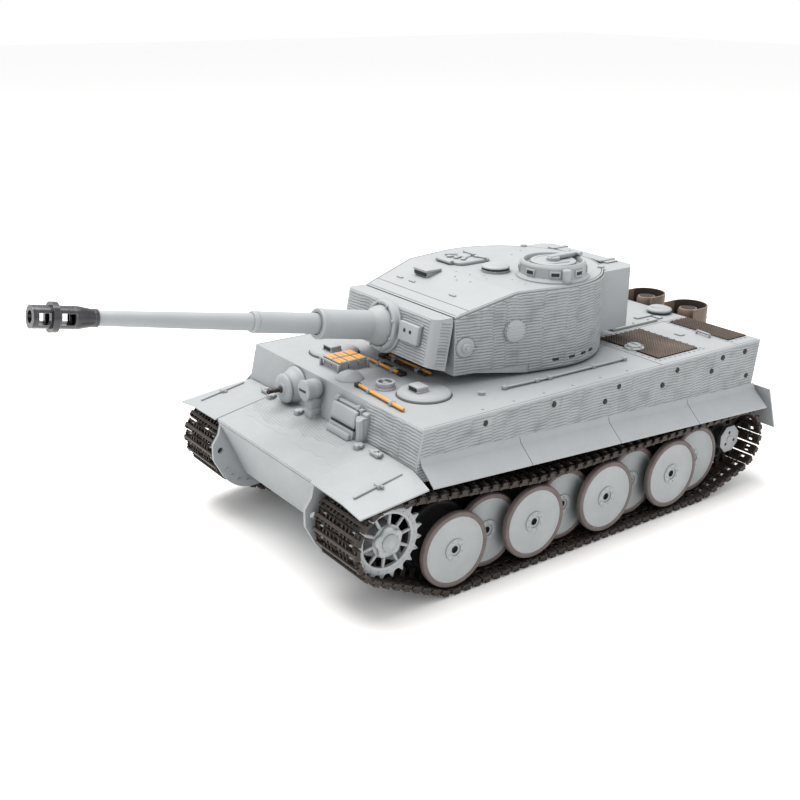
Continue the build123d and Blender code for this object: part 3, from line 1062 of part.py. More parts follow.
def write(name, solids):
    centred = [Pos(0, -length_middle(), 0) * solid for solid in solids]
    whole = Compound(label=name, children=[piece for solid in centred for piece in solid.solids()])
    export_step(whole, f"parts/{name}.step")


def build():
    os.makedirs("parts", exist_ok=True)
    nodes = {
        "lower_hull": make_lower_hull(),
        "upper_hull": make_upper_hull(),
        "side_skirts": make_side_skirts(),
        "engine_grilles": make_engine_grilles(),
        "engine_hatch": make_engine_hatch(),
        "deck_fittings": make_deck_fittings(),
        "deck_tools": make_deck_tools(),
        "front_fittings": make_front_fittings(),
        "hull_mg": make_hull_mg(),
        "exhausts": make_exhausts(),
        "driver_hatch": make_crew_hatch(),
        "radio_hatch": mirrored(make_crew_hatch()),
        "turret_shell": make_turret_shell(),
        "turret_bin": make_turret_bin(),
        "cupola": make_cupola(),
        "commander_hatch": make_commander_hatch(),
        "loader_hatch": make_loader_hatch(),
        "mantlet": make_mantlet(),
        "barrel": make_barrel(),
        "muzzle_brake": make_muzzle_brake(),
        "drive_units": make_drive_units(),
        "electronics": make_electronics(),
    }
    track = make_track()
    sprocket = make_sprocket()
    idler = make_idler()
    for side, sign in SIDES:
        nodes[f"track_{side}"] = on_side(track, sign)
        nodes[f"sprocket_{side}"] = on_side(sprocket, sign)
        nodes[f"idler_{side}"] = on_side(idler, sign)
        for index in range(WHEELS_PER_SIDE):
            nodes[f"road_wheel_{side}_{index + 1}"] = on_side(make_wheel(index), sign)
            nodes[f"arm_{side}_{index + 1}"] = on_side(make_arm(index), sign)
    for name, solids in nodes.items():
        write(name, solids)


build()
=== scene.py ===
import json
import math

import bmesh
import bpy
from mathutils import Matrix, Vector, noise


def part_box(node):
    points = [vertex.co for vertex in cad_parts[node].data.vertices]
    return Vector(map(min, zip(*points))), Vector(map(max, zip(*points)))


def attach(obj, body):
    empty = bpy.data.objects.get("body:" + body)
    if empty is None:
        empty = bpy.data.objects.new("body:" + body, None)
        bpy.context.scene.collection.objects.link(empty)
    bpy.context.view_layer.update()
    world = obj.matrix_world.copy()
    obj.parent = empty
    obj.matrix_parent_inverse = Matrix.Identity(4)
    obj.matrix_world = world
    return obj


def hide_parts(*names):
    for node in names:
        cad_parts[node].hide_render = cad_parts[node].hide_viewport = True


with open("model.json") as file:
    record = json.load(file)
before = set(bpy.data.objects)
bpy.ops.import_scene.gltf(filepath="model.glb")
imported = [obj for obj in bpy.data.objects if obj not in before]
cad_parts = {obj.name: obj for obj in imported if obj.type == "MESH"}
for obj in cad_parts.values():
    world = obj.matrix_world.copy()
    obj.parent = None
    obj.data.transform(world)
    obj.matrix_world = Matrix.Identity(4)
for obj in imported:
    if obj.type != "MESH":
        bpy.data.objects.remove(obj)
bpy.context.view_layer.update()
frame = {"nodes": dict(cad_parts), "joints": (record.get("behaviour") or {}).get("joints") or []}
joints = {joint["name"]: joint for joint in frame["joints"]}
MM = 0.001
AXLE_Y = joints["road_wheel_left_1_spin"]["pos_m"][1]
SIDES = (("left", 1), ("right", -1))

# ---- Camera ----------------------------------------------------------------
# A short telephoto view of the left front corner from a little above the deck.
camera_data = bpy.data.cameras.new("camera")
camera_data.sensor_width = 36
camera_data.lens = 49.78
camera = bpy.data.objects.new("camera", camera_data)
bpy.context.scene.collection.objects.link(camera)
camera_turn = (Matrix.Rotation(math.radians(53.88), 4, "Z") @ Matrix.Rotation(math.radians(90 - 20.67), 4, "X")
               @ Matrix.Rotation(math.radians(0.52), 4, "Z"))
camera.matrix_world = Matrix.Translation((0.5647, -0.3765 + AXLE_Y, 0.3497)) @ camera_turn
bpy.context.scene.camera = camera

# ---- Studio ----------------------------------------------------------------
# A plain white floor that runs out of sight, white surroundings and large soft lamps overhead.
bpy.ops.mesh.primitive_plane_add(size=12, location=(0, 0, -0.0002))
floor = bpy.context.active_object
floor.name = "studio_floor"
floor_paint = bpy.data.materials.new("studio white")
floor_paint.use_nodes = True
floor_paint.node_tree.nodes["Principled BSDF"].inputs["Base Color"].default_value = (0.96, 0.96, 0.96, 1)
floor_paint.node_tree.nodes["Principled BSDF"].inputs["Roughness"].default_value = 0.9
floor.data.materials.append(floor_paint)
world = bpy.data.worlds.new("white surroundings")
world.use_nodes = True
world.node_tree.nodes["Background"].inputs["Color"].default_value = (1, 1, 1, 1)
world.node_tree.nodes["Background"].inputs["Strength"].default_value = 1.0
bpy.context.scene.world = world
bpy.context.scene.view_settings.view_transform = "Standard"


def soft_lamp(name, place, aim, size, power):
    lamp_data = bpy.data.lights.new(name, "AREA")
    lamp_data.size = size
    lamp_data.energy = power
    lamp_data.color = (1.0, 0.965, 0.915)
    lamp = bpy.data.objects.new(name, lamp_data)
    lamp.location = place
    lamp.rotation_euler = (Vector(aim) - Vector(place)).to_track_quat("-Z", "Y").to_euler()
    bpy.context.scene.collection.objects.link(lamp)


soft_lamp("overhead lamp", (-0.35, -0.1, 1.5), (0, 0, 0.05), 1.3, 33)
soft_lamp("side lamp", (1.3, 0.9, 1.0), (0, 0, 0.08), 1.2, 1.5)

# ---- Hull shells -----------------------------------------------------------
# Two light grey mouldings, the tub and the deck with its sloped front plate and side plates. The plastic is matt with
# a fine orange peel; painted shade darkens the corners, a painted highlight lightens the edges and the track wells
# are coloured near-black as painted shade.


def nodes_of(material):
    return material.node_tree.nodes, material.node_tree.links


def add_node(material, kind, inputs=(), **settings):
    node = material.node_tree.nodes.new(kind)
    for name, value in settings.items():
        setattr(node, name, value)
    for name, value in dict(inputs).items():
        if isinstance(value, bpy.types.NodeSocket):
            material.node_tree.links.new(value, node.inputs[name])
        else:
            node.inputs[name].default_value = value
    return node


def finish_material(name, colour, blotch, rough, metallic=0.0, grain=900.0, grain_depth=0.00004, crevice=0.45,
                    edge=None, edge_width=0.0004, blotch_scale=45.0, coat=0.0, shelter_reach=0.006):
    """A moulded or painted surface: cloudy colour, painted shade in the corners, a painted highlight on the edges and
    a fine grain.

    colour and blotch are the two shades it drifts between; edge is the colour of the painted edge highlight; crevice
    is how dark the painted shade in the corners gets."""
    material = bpy.data.materials.new(name)
    material.use_nodes = True
    nodes, links = nodes_of(material)
    shader = nodes["Principled BSDF"]
    place = add_node(material, "ShaderNodeTexCoord")
    clouds = add_node(material, "ShaderNodeTexNoise", {"Vector": place.outputs["Object"], "Scale": blotch_scale,
                                                       "Detail": 5.0, "Roughness": 0.6})
    spread = add_node(material, "ShaderNodeMapRange", {"Value": clouds.outputs["Fac"], "From Min": 0.35,
                                                       "From Max": 0.65})
    shade = add_node(material, "ShaderNodeMix", {"Factor": spread.outputs["Result"]}, data_type="RGBA")
    shade.inputs[6].default_value = (*colour, 1)
    shade.inputs[7].default_value = (*blotch, 1)
    top = shade.outputs[2]
    # Painted highlight: the colour turns towards edge where the rounded normal bends away from the flat one.
    if edge:
        soft = add_node(material, "ShaderNodeBevel", {"Radius": edge_width}, samples=4)
        flat = add_node(material, "ShaderNodeNewGeometry")
        bend = add_node(material, "ShaderNodeVectorMath", {0: soft.outputs["Normal"], 1: flat.outputs["Normal"]},
                        operation="DOT_PRODUCT")
        highlight_share = add_node(material, "ShaderNodeMapRange", {"Value": bend.outputs["Value"], "From Min": 0.995,
                                                         "From Max": 0.86})
        edge_highlight = add_node(material, "ShaderNodeMix", {"Factor": highlight_share.outputs["Result"], 6: top}, data_type="RGBA")
        edge_highlight.inputs[7].default_value = (*edge, 1)
        top = edge_highlight.outputs[2]
    # Painted shade: ambient occlusion darkens the colour in corners, crevices and between parts.
    shelter = add_node(material, "ShaderNodeAmbientOcclusion", {"Distance": shelter_reach}, samples=6)
    corner = add_node(material, "ShaderNodeMapRange", {"Value": shelter.outputs["AO"], "From Min": 0.25,
                                                       "From Max": 0.85, "To Min": 1.0 - crevice, "To Max": 1.0})
    corner_shaded = add_node(material, "ShaderNodeVectorMath", {0: top, "Scale": corner.outputs["Result"]},
                     operation="SCALE")
    links.new(corner_shaded.outputs["Vector"], shader.inputs["Base Color"])
    peel = add_node(material, "ShaderNodeTexNoise", {"Vector": place.outputs["Object"], "Scale": grain,
                                                     "Detail": 3.0})
    dull = add_node(material, "ShaderNodeMapRange", {"Value": clouds.outputs["Fac"], "From Min": 0.3,
                                                     "From Max": 0.7, "To Min": rough - 0.06, "To Max": rough + 0.06})
    links.new(dull.outputs["Result"], shader.inputs["Roughness"])
    rise = add_node(material, "ShaderNodeBump", {"Height": peel.outputs["Fac"], "Distance": grain_depth,
                                                 "Strength": 0.6})
    links.new(rise.outputs["Normal"], shader.inputs["Normal"])
    shader.inputs["Metallic"].default_value = metallic
    shader.inputs["Coat Weight"].default_value = coat
    return material


GREY = (0.298, 0.318, 0.334)
# edge gives a painted highlight on the edges; crevice a painted shade in the corners.
grey_plastic = finish_material("grey plastic", GREY, (0.282, 0.302, 0.318), 0.52, edge=(0.38, 0.40, 0.415))


def show_cad(node, material):
    """A CAD node whose shape is right stays, with a better material."""
    mesh = frame["nodes"][node].data
    if not mesh.materials:
        mesh.materials.append(material)
    for index in range(len(mesh.materials)):
        mesh.materials[index] = material


for hull_node in ("side_skirts", "turret_bin"):
    show_cad(hull_node, grey_plastic)
shaded_plastic = finish_material("grey plastic with painted well shade", GREY, (0.282, 0.302, 0.318), 0.52,
                                 edge=(0.38, 0.40, 0.415))


def paint_well_shade(material):
    """Painted shade: near-black colour in the track wells, where shade falls: outside the tub's sides, behind the
    nose and below the sponsons.
    """
    nodes, links = nodes_of(material)
    shader = nodes["Principled BSDF"]
    colour_link = shader.inputs["Base Color"].links[0]
    place = add_node(material, "ShaderNodeTexCoord")
    apart = add_node(material, "ShaderNodeSeparateXYZ", {"Vector": place.outputs["Object"]})
    reach = add_node(material, "ShaderNodeMath", {0: apart.outputs["X"]}, operation="ABSOLUTE")
    outside = add_node(material, "ShaderNodeMapRange", {"Value": reach.outputs["Value"], "From Min": 0.0585,
                                                        "From Max": 0.0592})
    inboard = add_node(material, "ShaderNodeMapRange", {"Value": reach.outputs["Value"], "From Min": 0.0978,
                                                        "From Max": 0.0974})
    behind = add_node(material, "ShaderNodeMapRange", {"Value": apart.outputs["Y"], "From Min": AXLE_Y - 0.052,
                                                       "From Max": AXLE_Y - 0.046})
    below = add_node(material, "ShaderNodeMapRange", {"Value": apart.outputs["Z"], "From Min": 0.0782,
                                                      "From Max": 0.0776})
    ahead = add_node(material, "ShaderNodeMapRange", {"Value": apart.outputs["Y"], "From Min": AXLE_Y + 0.2826,
                                                      "From Max": AXLE_Y + 0.2820})
    share = outside.outputs["Result"]
    for mask in (inboard, behind, below, ahead):
        both = add_node(material, "ShaderNodeMath", {0: share, 1: mask.outputs["Result"]}, operation="MULTIPLY")
        share = both.outputs["Value"]
    well = add_node(material, "ShaderNodeMix", {"Factor": share, 6: colour_link.from_socket}, data_type="RGBA")
    # Near-black painted shade colour of the wells.
    well.inputs[7].default_value = (0.012, 0.012, 0.013, 1)
    links.new(well.outputs[2], shader.inputs["Base Color"])


paint_well_shade(shaded_plastic)
for hull_node in ("lower_hull", "upper_hull"):
    show_cad(hull_node, shaded_plastic)


def tank(x, y, z):
    """A place on the tank in metres, from millimetres counted from the first road-wheel axle."""
    return Vector((x * MM, y * MM + AXLE_Y, z * MM))


def clear_selection():
    bpy.ops.object.select_all(action="DESELECT")


def settle(obj):
    """Puts the object's place into its mesh and leaves it alone selected and active."""
    clear_selection()
    obj.select_set(True)
    bpy.context.view_layer.objects.active = obj
    bpy.ops.object.transform_apply(location=True, rotation=True, scale=True)
    return obj


def soften(obj, width, segments=2, angle=35):
    """Rounds the sharp edges by width millimetres and shades the rest smooth."""
    settle(obj)
    if width:
        rounding = obj.modifiers.new("rounding", "BEVEL")
        rounding.width = width * MM
        rounding.segments = segments
        rounding.limit_method = "ANGLE"
        rounding.angle_limit = math.radians(angle)
        rounding.harden_normals = False
        bpy.ops.object.modifier_apply(modifier=rounding.name)
    bpy.ops.object.shade_smooth_by_angle(angle=math.radians(angle))
    return obj


def block(low, high, bevel=0.25, segments=2):
    """A squared bar or plate between two corners, with rounded edges."""
    clear_selection()
    low, high = tank(*low), tank(*high)
    bpy.ops.mesh.primitive_cube_add(size=1, location=(low + high) / 2)
    bar = bpy.context.active_object
    bar.scale = high - low
    return soften(bar, bevel, segments)


def rod(start, end, radius, bevel=0.2, sides=24, tip_radius=None):
    """A round bar between two places, tapered where a tip radius is given."""
    clear_selection()
    start, end = tank(*start), tank(*end)
    along = end - start
    tip = radius if tip_radius is None else tip_radius
    bpy.ops.mesh.primitive_cone_add(vertices=sides, radius1=radius * MM, radius2=tip * MM, depth=along.length,
                                    location=(start + end) / 2, rotation=along.to_track_quat("Z", "Y").to_euler())
    return soften(bpy.context.active_object, bevel)


def turned(outline, centre, axis="X", steps=64, angle=30):
    """A lathe-turned piece. outline lists (distance along the axis, radius) in millimetres."""
    directions = {"X": (Vector((1, 0, 0)), Vector((0, 0, 1))), "-X": (Vector((-1, 0, 0)), Vector((0, 0, 1))),
                  "Y": (Vector((0, 1, 0)), Vector((0, 0, 1))), "-Y": (Vector((0, -1, 0)), Vector((0, 0, 1))),
                  "Z": (Vector((0, 0, 1)), Vector((1, 0, 0)))}
    along, out = directions[axis]
    middle = tank(*centre)
    mesh = bpy.data.meshes.new("turned")
    points = [middle + along * (reach * MM) + out * (radius * MM) for reach, radius in outline]
    mesh.from_pydata([tuple(point) for point in points], [(i, i + 1) for i in range(len(points) - 1)], [])
    piece = bpy.data.objects.new("turned", mesh)
    bpy.context.scene.collection.objects.link(piece)
    clear_selection()
    piece.select_set(True)
    bpy.context.view_layer.objects.active = piece
    bpy.ops.object.mode_set(mode="EDIT")
    bpy.ops.mesh.select_all(action="SELECT")
    bpy.ops.mesh.spin(steps=steps, angle=2 * math.pi, center=middle, axis=along)
    bpy.ops.mesh.select_all(action="SELECT")
    bpy.ops.mesh.remove_doubles(threshold=0.00002)
    bpy.ops.mesh.normals_make_consistent(inside=False)
    bpy.ops.object.mode_set(mode="OBJECT")
    bpy.ops.object.shade_smooth_by_angle(angle=math.radians(angle))
    return piece


def plate_of(outline, low_x, high_x, bevel=0.2):
    """A plate cut to a side-view outline of (y, z) points, from low_x to high_x."""
    mesh = bpy.data.meshes.new("plate")
    mesh.from_pydata([tuple(tank(low_x, y, z)) for y, z in outline], [], [tuple(range(len(outline)))])
    piece = bpy.data.objects.new("plate", mesh)
    bpy.context.scene.collection.objects.link(piece)
    clear_selection()
    piece.select_set(True)
    bpy.context.view_layer.objects.active = piece
    bpy.ops.object.mode_set(mode="EDIT")
    bpy.ops.mesh.select_all(action="SELECT")
    bpy.ops.mesh.extrude_region_move(TRANSFORM_OT_translate={"value": ((high_x - low_x) * MM, 0, 0)})
    bpy.ops.mesh.select_all(action="SELECT")
    bpy.ops.mesh.normals_make_consistent(inside=False)
    bpy.ops.object.mode_set(mode="OBJECT")
    return soften(piece, bevel)


def join(name, parts, material=None):
    """One piece from several; each part keeps its own material unless one is given."""
    for part in parts:
        if material:
            part.data.materials.clear()
            part.data.materials.append(material)
    clear_selection()
    for part in parts:
        part.select_set(True)
    bpy.context.view_layer.objects.active = parts[0]
    if len(parts) > 1:
        bpy.ops.object.join()
    whole = bpy.context.active_object
    whole.name = name
    whole.data.name = name
    return whole


def painted(part, material):
    part.data.materials.clear()
    part.data.materials.append(material)
    return part


def copied(piece, name, matrix):
    """A copy with its own mesh, moved by matrix."""
    twin = piece.copy()
    twin.data = piece.data.copy()
    twin.name = name
    twin.data.transform(matrix)
    if matrix.determinant() < 0:
        twin.data.flip_normals()
    bpy.context.scene.collection.objects.link(twin)
    return twin


MIRROR = Matrix.Scale(-1, 4, (1, 0, 0))


def along_tank(distance):
    return Matrix.Translation((0, distance * MM, 0))


def fix(piece, body, replaces=None):
    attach(piece, body)
    if replaces:
        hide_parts(replaces)
    return piece


black_gap = finish_material("black gap", (0.006, 0.006, 0.006), (0.010, 0.010, 0.010), 0.7, crevice=0.0)

# ---- Road wheels -----------------------------------------------------------
# Sixteen interleaved wheels, each with two dished steel-look plastic discs inside brown rubber tyres. A hub ring with
# eight bolts covers the axle end, which is a dark bore. The inner disc and its tyre are coloured near-black as
# painted shade.
# The outer discs get a deeper painted shade in their hollows, with a long occlusion reach.
wheel_disc_paint = finish_material("wheel disc plastic", (0.33, 0.35, 0.36), (0.30, 0.32, 0.33), 0.5,
                                   edge=(0.43, 0.44, 0.45), crevice=0.6, shelter_reach=0.014)
inner_disc_shade = finish_material("inner disc painted shade", (0.020, 0.020, 0.021), (0.012, 0.012, 0.013), 0.6, crevice=0.3)
tyre_rubber = finish_material("tyre rubber", (0.125, 0.10, 0.095), (0.095, 0.076, 0.072), 0.62, grain=1400,
                              edge=(0.24, 0.20, 0.19), crevice=0.4, blotch_scale=120)
axle_bore = finish_material("axle bore", (0.05, 0.05, 0.055), (0.03, 0.03, 0.033), 0.5, crevice=0.6)
WHEEL_Z = 30.2
WHEEL_RADIUS = 25.0
TYRE = 3.4
DISC = 4.5


def wheel_face(face_x, y, with_hub):
    """One disc with its tyre; the outer face of the disc is at face_x."""
    tread = WHEEL_RADIUS - 0.05
    bead = WHEEL_RADIUS - TYRE
    tyre = turned([(-DISC, bead), (-DISC + 0.1, tread - 1.2), (-DISC + 0.9, tread - 0.2), (-DISC / 2, tread),
                   (-0.9, tread - 0.2), (-0.25, tread - 0.7), (0.0, tread - 1.4), (-0.05, bead + 0.5), (-0.4, bead),
                   (-1.3, bead - 0.1)], (face_x, y, WHEEL_Z), steps=72)
    painted(tyre, tyre_rubber)
    lip = bead - 0.15
    disc = turned([(-DISC, 2.4), (-DISC, bead + 0.1), (-DISC + 0.4, bead + 0.2), (-0.9, bead + 0.1),
                   (-0.55, lip), (-0.6, lip - 0.7), (-1.05, lip - 1.3), (-1.5, lip - 2.4), (-1.75, lip - 4.5),
                   (-1.7, 12.5), (-1.35, 8.2), (-1.2, 6.9), (-1.2, 4.7), (-1.2, 2.4)],
                  (face_x, y, WHEEL_Z), steps=72)
    parts = [tyre, painted(disc, wheel_disc_paint)]
    if with_hub:
        ring = turned([(-1.3, 7.2), (-0.5, 7.0), (-0.3, 6.7), (-0.3, 4.5), (-0.5, 4.2), (-1.0, 4.0),
                       (-3.6, 3.9)], (face_x, y, WHEEL_Z), steps=48)
        parts.append(painted(ring, wheel_disc_paint))
        bore = turned([(-3.3, 0.0), (-3.3, 1.9), (-2.4, 2.1), (-2.4, 2.9), (-3.5, 3.1), (-3.6, 4.0)],
                      (face_x, y, WHEEL_Z), steps=32)
        parts.append(painted(bore, axle_bore))
        for count in range(8):
            angle = (count + 0.5) * math.pi / 4
            bolt_y, bolt_z = y + 5.7 * math.cos(angle), WHEEL_Z + 5.7 * math.sin(angle)
            bolt = rod((face_x - 0.6, bolt_y, bolt_z), (face_x + 0.15, bolt_y, bolt_z), 0.5, 0.1, 6)
            parts.append(painted(bolt, wheel_disc_paint))
    else:
        # Inner disc and tyre: near-black painted shade.
        for part in parts:
            painted(part, inner_disc_shade)
    return parts


wheel_box = {}
for index in range(8):
    low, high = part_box(f"road_wheel_left_{index + 1}")
    wheel_box[index] = (high.x / MM, low.x / MM)
masters = {}
for index in (0, 1):
    outer_x, inner_x = wheel_box[index]
    inner_face = inner_x + DISC
    parts = wheel_face(outer_x, 0, True) + wheel_face(inner_face, 0, False)
    hub = turned([(0.0, 2.4), (0.0, 4.6), (outer_x - inner_face - DISC, 4.6), (outer_x - inner_face - DISC, 2.4)],
                 (inner_face, 0, WHEEL_Z), steps=32)
    parts.append(painted(hub, wheel_disc_paint))
    masters[index] = join("wheel_master", parts)
for index in range(8):
    turn = Matrix.Translation(tank(0, 0, WHEEL_Z)) @ Matrix.Rotation(0.37 * index, 4, "X") @ Matrix.Translation(
        -tank(0, 0, WHEEL_Z))
    step = along_tank(32.2 * index) @ turn
    for side, sign in SIDES:
        name = f"road_wheel_{side}_{index + 1}"
        place = step if sign > 0 else MIRROR @ step
        fix(copied(masters[index % 2], f"{name}_look", place), name, name)
for master in masters.values():
    bpy.data.objects.remove(master)

# ---- Swing arms ------------------------------------------------------------
# Short machined steel arms behind the wheels, coloured near-black as painted shade; their CAD shape is right.
arm_steel_in_shade = finish_material("swing arm steel in painted shade", (0.05, 0.05, 0.052), (0.035, 0.035, 0.037), 0.42, metallic=0.5,
                            edge=(0.16, 0.16, 0.165))
for index in range(8):
    for side, sign in SIDES:
        show_cad(f"arm_{side}_{index + 1}", arm_steel_in_shade)

# ---- Drive sprockets -------------------------------------------------------
# Two toothed rings bolted to a drum, cast in grey plastic. The rings have pointed teeth, a band with
# two rows of small bolts and ten thin spokes; the hub has five lobes, bolts and a domed cap.
# A strong painted highlight on the sprocket edges and painted shade in its hollows.
sprocket_grey = finish_material("sprocket plastic", (0.33, 0.35, 0.365), (0.27, 0.29, 0.30), 0.48,
                                edge=(0.55, 0.57, 0.58), crevice=0.6, blotch_scale=90)
sprocket_at = joints["sprocket_left_spin"]["pos_m"]
SPROCKET_Y = (sprocket_at[1] - AXLE_Y) / MM
SPROCKET_Z = sprocket_at[2] / MM
TRACK_X = sprocket_at[0] / MM
RING_THICK = 2.6


def toothed_ring(face_x, detailed):
    """A ring whose outer face is at face_x, with pointed teeth cut round it."""
    teeth = 20
    outline = []
    inside = []
    for count in range(teeth):
        start = 2 * math.pi * count / teeth
        for share, radius in ((0.0, 21.5), (0.16, 21.5), (0.26, 22.0), (0.34, 22.9), (0.42, 24.3), (0.47, 25.15),
                              (0.53, 25.15), (0.58, 24.3), (0.66, 22.9), (0.74, 22.0), (0.84, 21.5)):
            angle = start + share * 2 * math.pi / teeth
            outline.append((radius * math.cos(angle), radius * math.sin(angle)))
            inside.append((16.9 * math.cos(angle), 16.9 * math.sin(angle)))
    mesh = bpy.data.meshes.new("ring")
    count = len(outline)
    points = [tuple(tank(face_x - RING_THICK, SPROCKET_Y + y, SPROCKET_Z + z)) for y, z in outline + inside]
    faces = [(i, (i + 1) % count, count + (i + 1) % count, count + i) for i in range(count)]
    mesh.from_pydata(points, [], faces)
    ring = bpy.data.objects.new("ring", mesh)
    bpy.context.scene.collection.objects.link(ring)
    clear_selection()
    ring.select_set(True)
    bpy.context.view_layer.objects.active = ring
    bpy.ops.object.mode_set(mode="EDIT")
    bpy.ops.mesh.select_all(action="SELECT")
    bpy.ops.mesh.extrude_region_move(TRANSFORM_OT_translate={"value": (RING_THICK * MM, 0, 0)})
    bpy.ops.mesh.select_all(action="SELECT")
    bpy.ops.mesh.normals_make_consistent(inside=False)
    bpy.ops.object.mode_set(mode="OBJECT")
    parts = [soften(ring, 0.22, 1, 40)]
    for spoke in range(10):
        angle = 2 * math.pi * (spoke + 0.25) / 10
        across, up = math.cos(angle), math.sin(angle)
        bar = rod((face_x - 1.3, SPROCKET_Y + 9.5 * across, SPROCKET_Z + 9.5 * up),
                  (face_x - 1.3, SPROCKET_Y + 17.3 * across, SPROCKET_Z + 17.3 * up), 1.25, 0.1, 8, 1.0)
        parts.append(bar)
    if detailed:
        band = turned([(-0.1, 20.9), (0.3, 20.6), (0.3, 17.9), (-0.1, 17.6)], (face_x, SPROCKET_Y, SPROCKET_Z))
        parts.append(band)
        for count in range(20):
            angle = 2 * math.pi * count / 20
            y, z = SPROCKET_Y + 19.3 * math.cos(angle), SPROCKET_Z + 19.3 * math.sin(angle)
            parts.append(rod((face_x, y, z), (face_x + 0.75, y, z), 0.55, 0.1, 6))
    return parts


outer_face = TRACK_X + 15.15 + RING_THICK / 2
inner_face = TRACK_X - 15.15 + RING_THICK / 2
sprocket_parts = toothed_ring(outer_face, True) + toothed_ring(inner_face, False)
middle = (outer_face, SPROCKET_Y, SPROCKET_Z)
sprocket_parts.append(turned([(-43.0, 0), (-43.0, 3.1), (-33.0, 3.1), (-33.0, 10.0), (-RING_THICK, 10.0),
                              (-0.2, 10.3), (0.1, 10.0), (0.1, 0)], middle))
for count in range(5):
    angle = 2 * math.pi * (count + 0.3) / 5
    y, z = SPROCKET_Y + 6.3 * math.cos(angle), SPROCKET_Z + 6.3 * math.sin(angle)
    sprocket_parts.append(turned([(0.0, 3.9), (1.3, 3.8), (1.9, 3.2), (2.0, 0)], (outer_face, y, z), steps=28))
    sprocket_parts.append(rod((outer_face + 1.9, y, z), (outer_face + 2.6, y, z), 0.75, 0.12, 6))
sprocket_parts.append(turned([(0.0, 8.2), (1.5, 8.0), (2.2, 7.2), (2.4, 5.6), (3.4, 5.2), (3.8, 4.6), (4.6, 3.4),
                              (5.0, 2.0), (5.1, 0)], middle, steps=48))
sprocket_master = join("sprocket_master", sprocket_parts, sprocket_grey)
for side, sign in SIDES:
    place = Matrix.Identity(4) if sign > 0 else MIRROR
    fix(copied(sprocket_master, f"sprocket_{side}_look", place), f"sprocket_{side}",
        f"sprocket_{side}")
bpy.data.objects.remove(sprocket_master)

# ---- Idlers ----------------------------------------------------------------
# The rear wheels that tension the tracks: spoked discs coloured near-black as painted shade, with a pale eight-sided
# cap and lock holes.
idler_shade = finish_material("idler plastic in painted shade", (0.045, 0.043, 0.043), (0.03, 0.029, 0.029), 0.5,
                             edge=(0.14, 0.135, 0.13), crevice=0.5)
idler_at = joints["idler_left_spin"]["pos_m"]
IDLER_Y = (idler_at[1] - AXLE_Y) / MM
IDLER_Z = idler_at[2] / MM
for side, sign in SIDES:
    show_cad(f"idler_{side}", idler_shade)
cap_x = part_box("idler_left")[1].x / MM
cap_outline = [(IDLER_Y + 10.6 * math.cos(math.radians(22.5 + 45 * count)),
                IDLER_Z + 10.6 * math.sin(math.radians(22.5 + 45 * count))) for count in range(8)]
cap_parts = [painted(plate_of(cap_outline, cap_x - 1.2, cap_x + 0.35, 0.5), grey_plastic)]
for angle in (100, 220, 340):
    y = IDLER_Y + 5.2 * math.cos(math.radians(angle))
    z = IDLER_Z + 5.2 * math.sin(math.radians(angle))
    cap_parts.append(painted(rod((cap_x, y, z), (cap_x + 0.42, y, z), 1.25, 0.05, 20), black_gap))
cap_boss = turned([(0.3, 3.1), (0.8, 2.9), (1.0, 2.4), (1.0, 0)], (cap_x, IDLER_Y, IDLER_Z))
cap_parts.append(painted(cap_boss, grey_plastic))
cap_master = join("cap_master", cap_parts)
for side, sign in SIDES:
    place = Matrix.Identity(4) if sign > 0 else MIRROR
    fix(copied(cap_master, f"idler_cap_{side}", place), f"idler_{side}")
bpy.data.objects.remove(cap_master)

# ---- Tracks ----------------------------------------------------------------
# Ninety-six cast links a side, pinned end to end round the wheels. Each has a cross bar that bites the
# ground, short ribs, two slots for the teeth, two guide horns inside and the heads of its pin.
# A painted highlight on the link edges and painted shade between the links.
track_iron = finish_material("track links", (0.018, 0.014, 0.012), (0.034, 0.025, 0.020), 0.5, metallic=0.35,
                             edge=(0.105, 0.080, 0.066), edge_width=0.00030, crevice=0.55, grain=1500,
                             blotch_scale=160)
LINKS = 96
LINK_THICK = 4.6
LINK_WIDE = 45.3


def outer_tangent(first, second):
    """Where a belt leaves one circle and meets the next, both turning the same way."""
    (y1, z1, r1), (y2, z2, r2) = first, second
    distance = math.hypot(y2 - y1, z2 - z1)
    lean = math.atan2(z2 - z1, y2 - y1) - math.acos((r1 - r2) / distance)
    across, up = math.cos(lean), math.sin(lean)
    return (y1 + r1 * across, z1 + r1 * up), (y2 + r2 * across, z2 + r2 * up)


def track_stretches():
    """Straight and round stretches of the track's inner face, once round the wheels."""
    bed = WHEEL_Z - LINK_THICK
    loop = [(0.0, WHEEL_Z, bed), (7 * 32.2, WHEEL_Z, bed), (IDLER_Y, IDLER_Z, 21.6), (64.0, 57.8, 0.0),
            (SPROCKET_Y, SPROCKET_Z, 22.2)]
    tangents = [outer_tangent(loop[i], loop[(i + 1) % 5]) for i in range(5)]
    stretches = []
    for index, (y, z, radius) in enumerate(loop):
        arrive, leave = tangents[index - 1][1], tangents[index][0]
        if radius:
            start = math.atan2(arrive[1] - z, arrive[0] - y)
            turn = (math.atan2(leave[1] - z, leave[0] - y) - start) % (2 * math.pi)
            stretches.append(("arc", (y, z, radius), start, radius * turn))
        end = tangents[index][1]
        stretches.append(("run", leave, end, math.hypot(end[0] - leave[0], end[1] - leave[1])))
    return stretches


def track_place(stretches, travel):
    """Point and outward angle of the inner face at a distance round the loop."""
    for kind, first, second, length in stretches:
        if travel > length:
            travel -= length
        elif kind == "arc":
            angle = second + travel / first[2]
            return first[0] + first[2] * math.cos(angle), first[1] + first[2] * math.sin(angle), angle
        else:
            share = travel / length
            return (first[0] + share * (second[0] - first[0]), first[1] + share * (second[1] - first[1]),
                    math.atan2(second[1] - first[1], second[0] - first[0]) - math.pi / 2)


